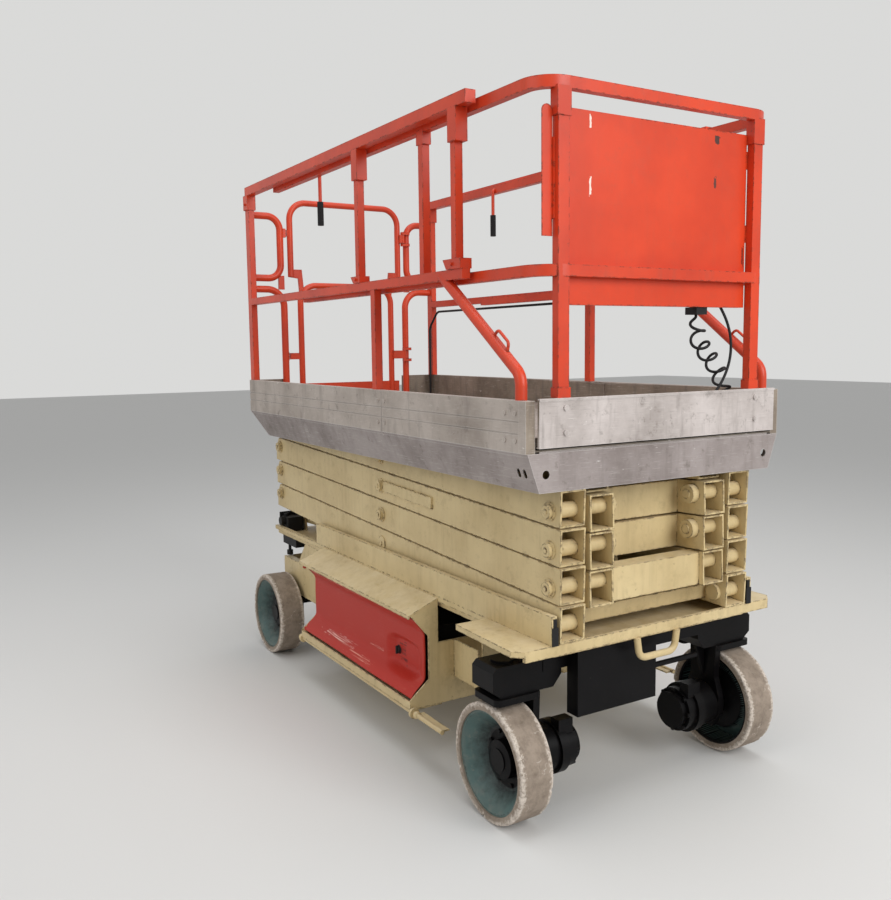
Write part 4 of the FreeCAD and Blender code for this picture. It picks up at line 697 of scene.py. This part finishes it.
def evenly(line, count):
    """The line cut into count points, each the same length further along it."""
    far = np.r_[0.0, np.cumsum(np.linalg.norm(np.diff(line, axis=0), axis=1))]
    at = np.linspace(0.0, far[-1], count)
    return np.stack([np.interp(at, far, line[:, i]) for i in range(3)], axis=1)


def curled(route, radius, turns):
    """A helix round the route: its line, plus the radius times the cosine and sine of the turn on
    two directions square to it. The radius grows from nothing over the first of the line's
    CURL_SHARES and closes over the last."""
    line = evenly(line_of(route), turns * POINTS_A_TURN + 1)
    share = np.linspace(0.0, 1.0, len(line))[:, None]
    ahead = np.gradient(line, axis=0)
    ahead /= np.linalg.norm(ahead, axis=1, keepdims=True)
    side = np.cross(ahead, (1.0, 0.0, 0.0))
    side /= np.linalg.norm(side, axis=1, keepdims=True)
    out = np.cross(side, ahead)
    size = radius * np.clip(np.minimum(share, 1.0 - share) * CURL_SHARES, 0.0, 1.0)
    turn = share * turns * 2.0 * np.pi
    return line + size * (np.cos(turn) * side + np.sin(turn) * out)


class LIFT_OT_finishes(Operator):
    """Gives every CAD node the finish of its slot in the record"""
    bl_idname = "lift.finishes"
    bl_label = "Finishes"

    def execute(self, context):
        slots = {part["node"]: part["material_slot"] for part in frame["record"]["subparts"]}
        for name, node in NODES.items():
            node.data.materials.clear()
            node.data.materials.append(finish(SLOT_FINISH[slots[name]]))
        NODES["front_panel"].data.materials[0] = finish("panel enamel")
        NODES["platform_frame"].data.materials[0] = finish("weathered aluminium")
        _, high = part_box("toe_boards")
        part_finish(NODES["toe_boards"], "stained aluminium",
                    lambda at: (np.abs(at[:, 1]) < high[1] - BOARD_WALL) & (at[:, 2] < high[2] - BOARD_EDGE))
        low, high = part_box("extension_deck")
        part_finish(NODES["extension_deck"], "stained aluminium",
                    lambda at: (at[:, 0] < high[0] - BOARD_WALL) & (at[:, 2] > low[2] + DECK_RISE))
        part_finish(NODES["extension_deck"], "rubbed aluminium", lambda at: at[:, 0] > high[0] - BOARD_FACE)
        part_finish(NODES["swing_handles"], "orange enamel", lambda at: at[:, 2] > GRIP_TOP)
        for end, x in AXLES:
            for side, s in SIDES:
                # the hub and all that faces inboard are black
                part_finish(NODES["wheel_disc_" + end + "_" + side], "black enamel", lambda at: (
                    np.hypot(at[:, 0] - x, at[:, 2] - WHEEL_RADIUS) < HUB_EDGE)
                    | (at[:, 1] * s < WHEEL_MIDDLE - DISH_BACK))
        return {"FINISHED"}


class LIFT_OT_tyres(Operator):
    """Solid tyres with round shoulders, whose edges are torn and chipped"""
    bl_idname = "lift.tyres"
    bl_label = "Tyres"

    def execute(self, context):
        sizes = context.scene.lift_sizes
        turn = np.linspace(0.0, 2.0 * np.pi, 240, endpoint=False)[:, None]
        for count, (end, x) in enumerate(AXLES):
            for side, s in SIDES:
                torn = tears(turn, np.random.default_rng(TEAR_SEED + 2 * count + (s > 0)))
                points, pale = tyre(turn, torn, sizes.tyre_radius, sizes.tyre_width / 2.0, sizes.tyre_chips,
                                    x, s)
                made = surface("worn_tyre_" + end + "_" + side, points, wrap_u=True, wrap_v=True,
                               marks={"torn": pale})
                finish_with(welded(made, 60.0), finish("non-marking rubber"), "wheel_" + end + "_" + side)
                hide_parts("tyre_" + end + "_" + side)
        return {"FINISHED"}


def tyre_outline(radius, half):
    """A tyre's section as (across, out from the axle): out up its outer wall, a quarter circle round
    the shoulder, across the tread, round the other shoulder and down the inner wall."""
    corner = np.linspace(0.0, np.pi / 2.0, 6)
    outer = np.stack([half - SHOULDER + SHOULDER * np.sin(corner),
                      radius - SHOULDER + SHOULDER * np.cos(corner)], axis=1)[::-1]
    wall = np.linspace(radius - RUBBER_DEPTH, radius - SHOULDER, 6)[:-1]
    tread = np.linspace(half - SHOULDER, SHOULDER - half, 9)[1:-1]
    return np.concatenate([
        np.stack([np.full(len(wall), half - WALL_SET), wall], axis=1), outer,
        np.stack([tread, np.full(len(tread), radius)], axis=1), outer[::-1] * (-1.0, 1.0),
        np.stack([np.full(len(wall), WALL_SET - half), wall[::-1]], axis=1)])


def tears(turn, rng):
    """How badly a tyre is torn round its edge, from 0 to 0.65: 22 sines of 5 to 59 waves a turn,
    added up, held to 1 at the highest, less 0.35 and never below 0."""
    waves = sum(np.sin(count * turn + phase) * size for count, phase, size in zip(
        rng.integers(5, 60, 22), rng.uniform(0, 6.3, 22), rng.uniform(0.1, 1.0, 22)))
    return np.clip(waves / np.abs(waves).max() - 0.35, 0.0, 1.0)


def tyre(turn, torn, radius, half, deep, x, s):
    """A torn tyre and how pale it is. Its section is carried round the axle at x. A bell curve of
    the distance from the shoulder says how much of a tear, at most deep, is taken off there, less
    on the inboard edge, and shallow waves are worn off the tread."""
    torn = torn * deep
    across, out = tyre_outline(radius, half).T[:, None]
    near = np.exp(-((radius - out) ** 2 + (half - np.abs(across)) ** 2) / TEAR_REACH ** 2)
    worn = TREAD_WAVE * np.abs(np.sin(9 * turn + 20 * across)) * (out > radius - TREAD_NEAR)
    away = out - torn * near * np.where(across * s > 0, 1.0, 0.6) - worn
    y = s * WHEEL_MIDDLE + across * (1.0 - 0.10 * near * torn / deep)
    points = np.stack([x + away * np.cos(turn), y, radius + away * np.sin(turn)], axis=-1)
    return points, np.clip(1.4 * near, 0.0, 1.0) * (0.42 + 0.58 * torn / deep)


class LIFT_OT_doors(Operator):
    """Moulded doors with soft bends, a dished pocket for the latch and rounded rims"""
    bl_idname = "lift.doors"
    bl_label = "Doors"

    def execute(self, context):
        for side, s in SIDES:
            body = "door_" + side
            low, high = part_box(body)
            pocket = high[0] - POCKET_BACK
            made = surface("moulded_" + body, door_skin(low[0] + DOOR_GAP, high[0], pocket, s), wrap_u=True)
            finish_with(welded(made, 50.0), finish("moulded polyethylene"), body)
            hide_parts(body)
            knuckles = [turned("knuckle", KNUCKLE, (low[0] + KNUCKLE_IN, s * KNUCKLE_OUT, z), (0, 0, 1), 24)
                        for z in KNUCKLE_HEIGHTS]
            finish_with(joined("door_knuckles_" + side, knuckles), finish("moulded polyethylene"), body)
            x, out = pocket - LATCH_BACK, DOOR_FLAT - POCKET_DEPTH - LATCH_SUNK
            knob = turned("knob", LATCH_KNOB, (x, s * out, POCKET_HEIGHT), (0, s, 0), 32)
            path = [(x, s * (out + LEVER_OUT), POCKET_HEIGHT + step) for step in LEVER_STEPS]
            lever = tube_along("lever", path, LEVER_RADIUS, 12, (1.0, 0.0, 0.0))
            finish_with(joined("door_latch_" + side, [knob, lever]), finish("abs"), body)
        return {"FINISHED"}


def door_line(z):
    """How far out a door's skin stands at each height: its bent line, blurred by a bell curve whose
    width is DOOR_BEND."""
    fine = np.linspace(DOOR_LINE[0, 0], DOOR_LINE[-1, 0], 400)
    line = np.interp(fine, DOOR_LINE[:, 0], DOOR_LINE[:, 1])
    pitch = fine[1] - fine[0]
    reach = int(3 * DOOR_BEND / pitch)
    bell = np.exp(-0.5 * (np.arange(-reach, reach + 1) * pitch / DOOR_BEND) ** 2)
    line = np.convolve(np.pad(line, reach, mode="reflect", reflect_type="odd"), bell / bell.sum(), "valid")
    return np.interp(z, fine, line)


def rounding(at, low, high):
    """0 at both ends of a run and 1 from DOOR_RIM inside them, along a quarter circle."""
    inside = np.clip(np.minimum(at - low, high - at) / DOOR_RIM, 0.0, 1.0)
    return np.sqrt(1.0 - (1.0 - inside) ** 2)


def door_skin(x0, x1, pocket, s):
    """A door as one closed sheet, its outer face and then its inner face. Each point is its place
    along the machine, the skin's line less the pocket and its own wall, and its height. The pocket
    is a rounded rectangle whose floor falls in an S curve, and the wall thins to nothing along a
    quarter circle at the rims."""
    z0, z1 = DOOR_LINE[0, 0], DOOR_LINE[-1, 0]
    rim = np.array((0.0, 0.0006, 0.0018, DOOR_RIM))
    x = np.concatenate([x0 + rim, np.linspace(x0 + 0.010, x1 - 0.010, 130), x1 - rim[::-1]])[None]
    z = np.concatenate([z0 + rim, np.linspace(z0 + 0.007, z1 - 0.007, 90), z1 - rim[::-1]])[:, None]
    far = ((np.abs(x - pocket) / POCKET_REACH[0]) ** POCKET_SQUARE
           + (np.abs(z - POCKET_HEIGHT) / POCKET_REACH[1]) ** POCKET_SQUARE) ** (1.0 / POCKET_SQUARE)
    fall = np.clip((POCKET_LIP - far) / POCKET_SLOPE, 0.0, 1.0)
    out = door_line(z) - POCKET_DEPTH * fall * fall * (3.0 - 2.0 * fall)
    out = out + DOOR_WAVE * np.sin(x * 9.0 + z * 14.0) * np.sin(z * 21.0)
    half = DOOR_WALL / 2.0 * rounding(x, x0, x1) * rounding(z, z0, z1)
    middle = out - DOOR_WALL / 2.0
    both = np.concatenate([middle + half, (middle - half)[::-1]])
    heights = np.concatenate([z, z[::-1]]) * np.ones_like(x)
    return np.stack([x * np.ones_like(heights), s * both, heights], axis=-1)


STEPS = (LIFT_OT_studio, LIFT_OT_cords, LIFT_OT_finishes, LIFT_OT_tyres, LIFT_OT_doors)


class LIFT_PT_panel(Panel):
    """Lists the steps that dress the scissor lift"""
    bl_label = "Scissor Lift"
    bl_idname = "LIFT_PT_panel"
    bl_space_type = "VIEW_3D"
    bl_region_type = "UI"
    bl_category = "Scissor Lift"

    def draw(self, context):
        for group in (context.scene.lift_sizes, context.scene.lift_colours):
            for key in group.__annotations__:
                self.layout.prop(group, key)
        for step in STEPS:
            self.layout.operator(step.bl_idname)


CLASSES = (LiftSizes, LiftColours, *STEPS, LIFT_PT_panel)


def register():
    for kind in CLASSES:
        bpy.utils.register_class(kind)
    bpy.types.Scene.lift_sizes = PointerProperty(type=LiftSizes)
    bpy.types.Scene.lift_colours = PointerProperty(type=LiftColours)


def unregister():
    del bpy.types.Scene.lift_colours
    del bpy.types.Scene.lift_sizes
    for kind in reversed(CLASSES):
        bpy.utils.unregister_class(kind)


def main():
    """Takes every step in order."""
    register()
    for step in STEPS:
        group, call = step.bl_idname.split(".")
        getattr(getattr(bpy.ops, group), call)()


if __name__ == "__main__":
    main()
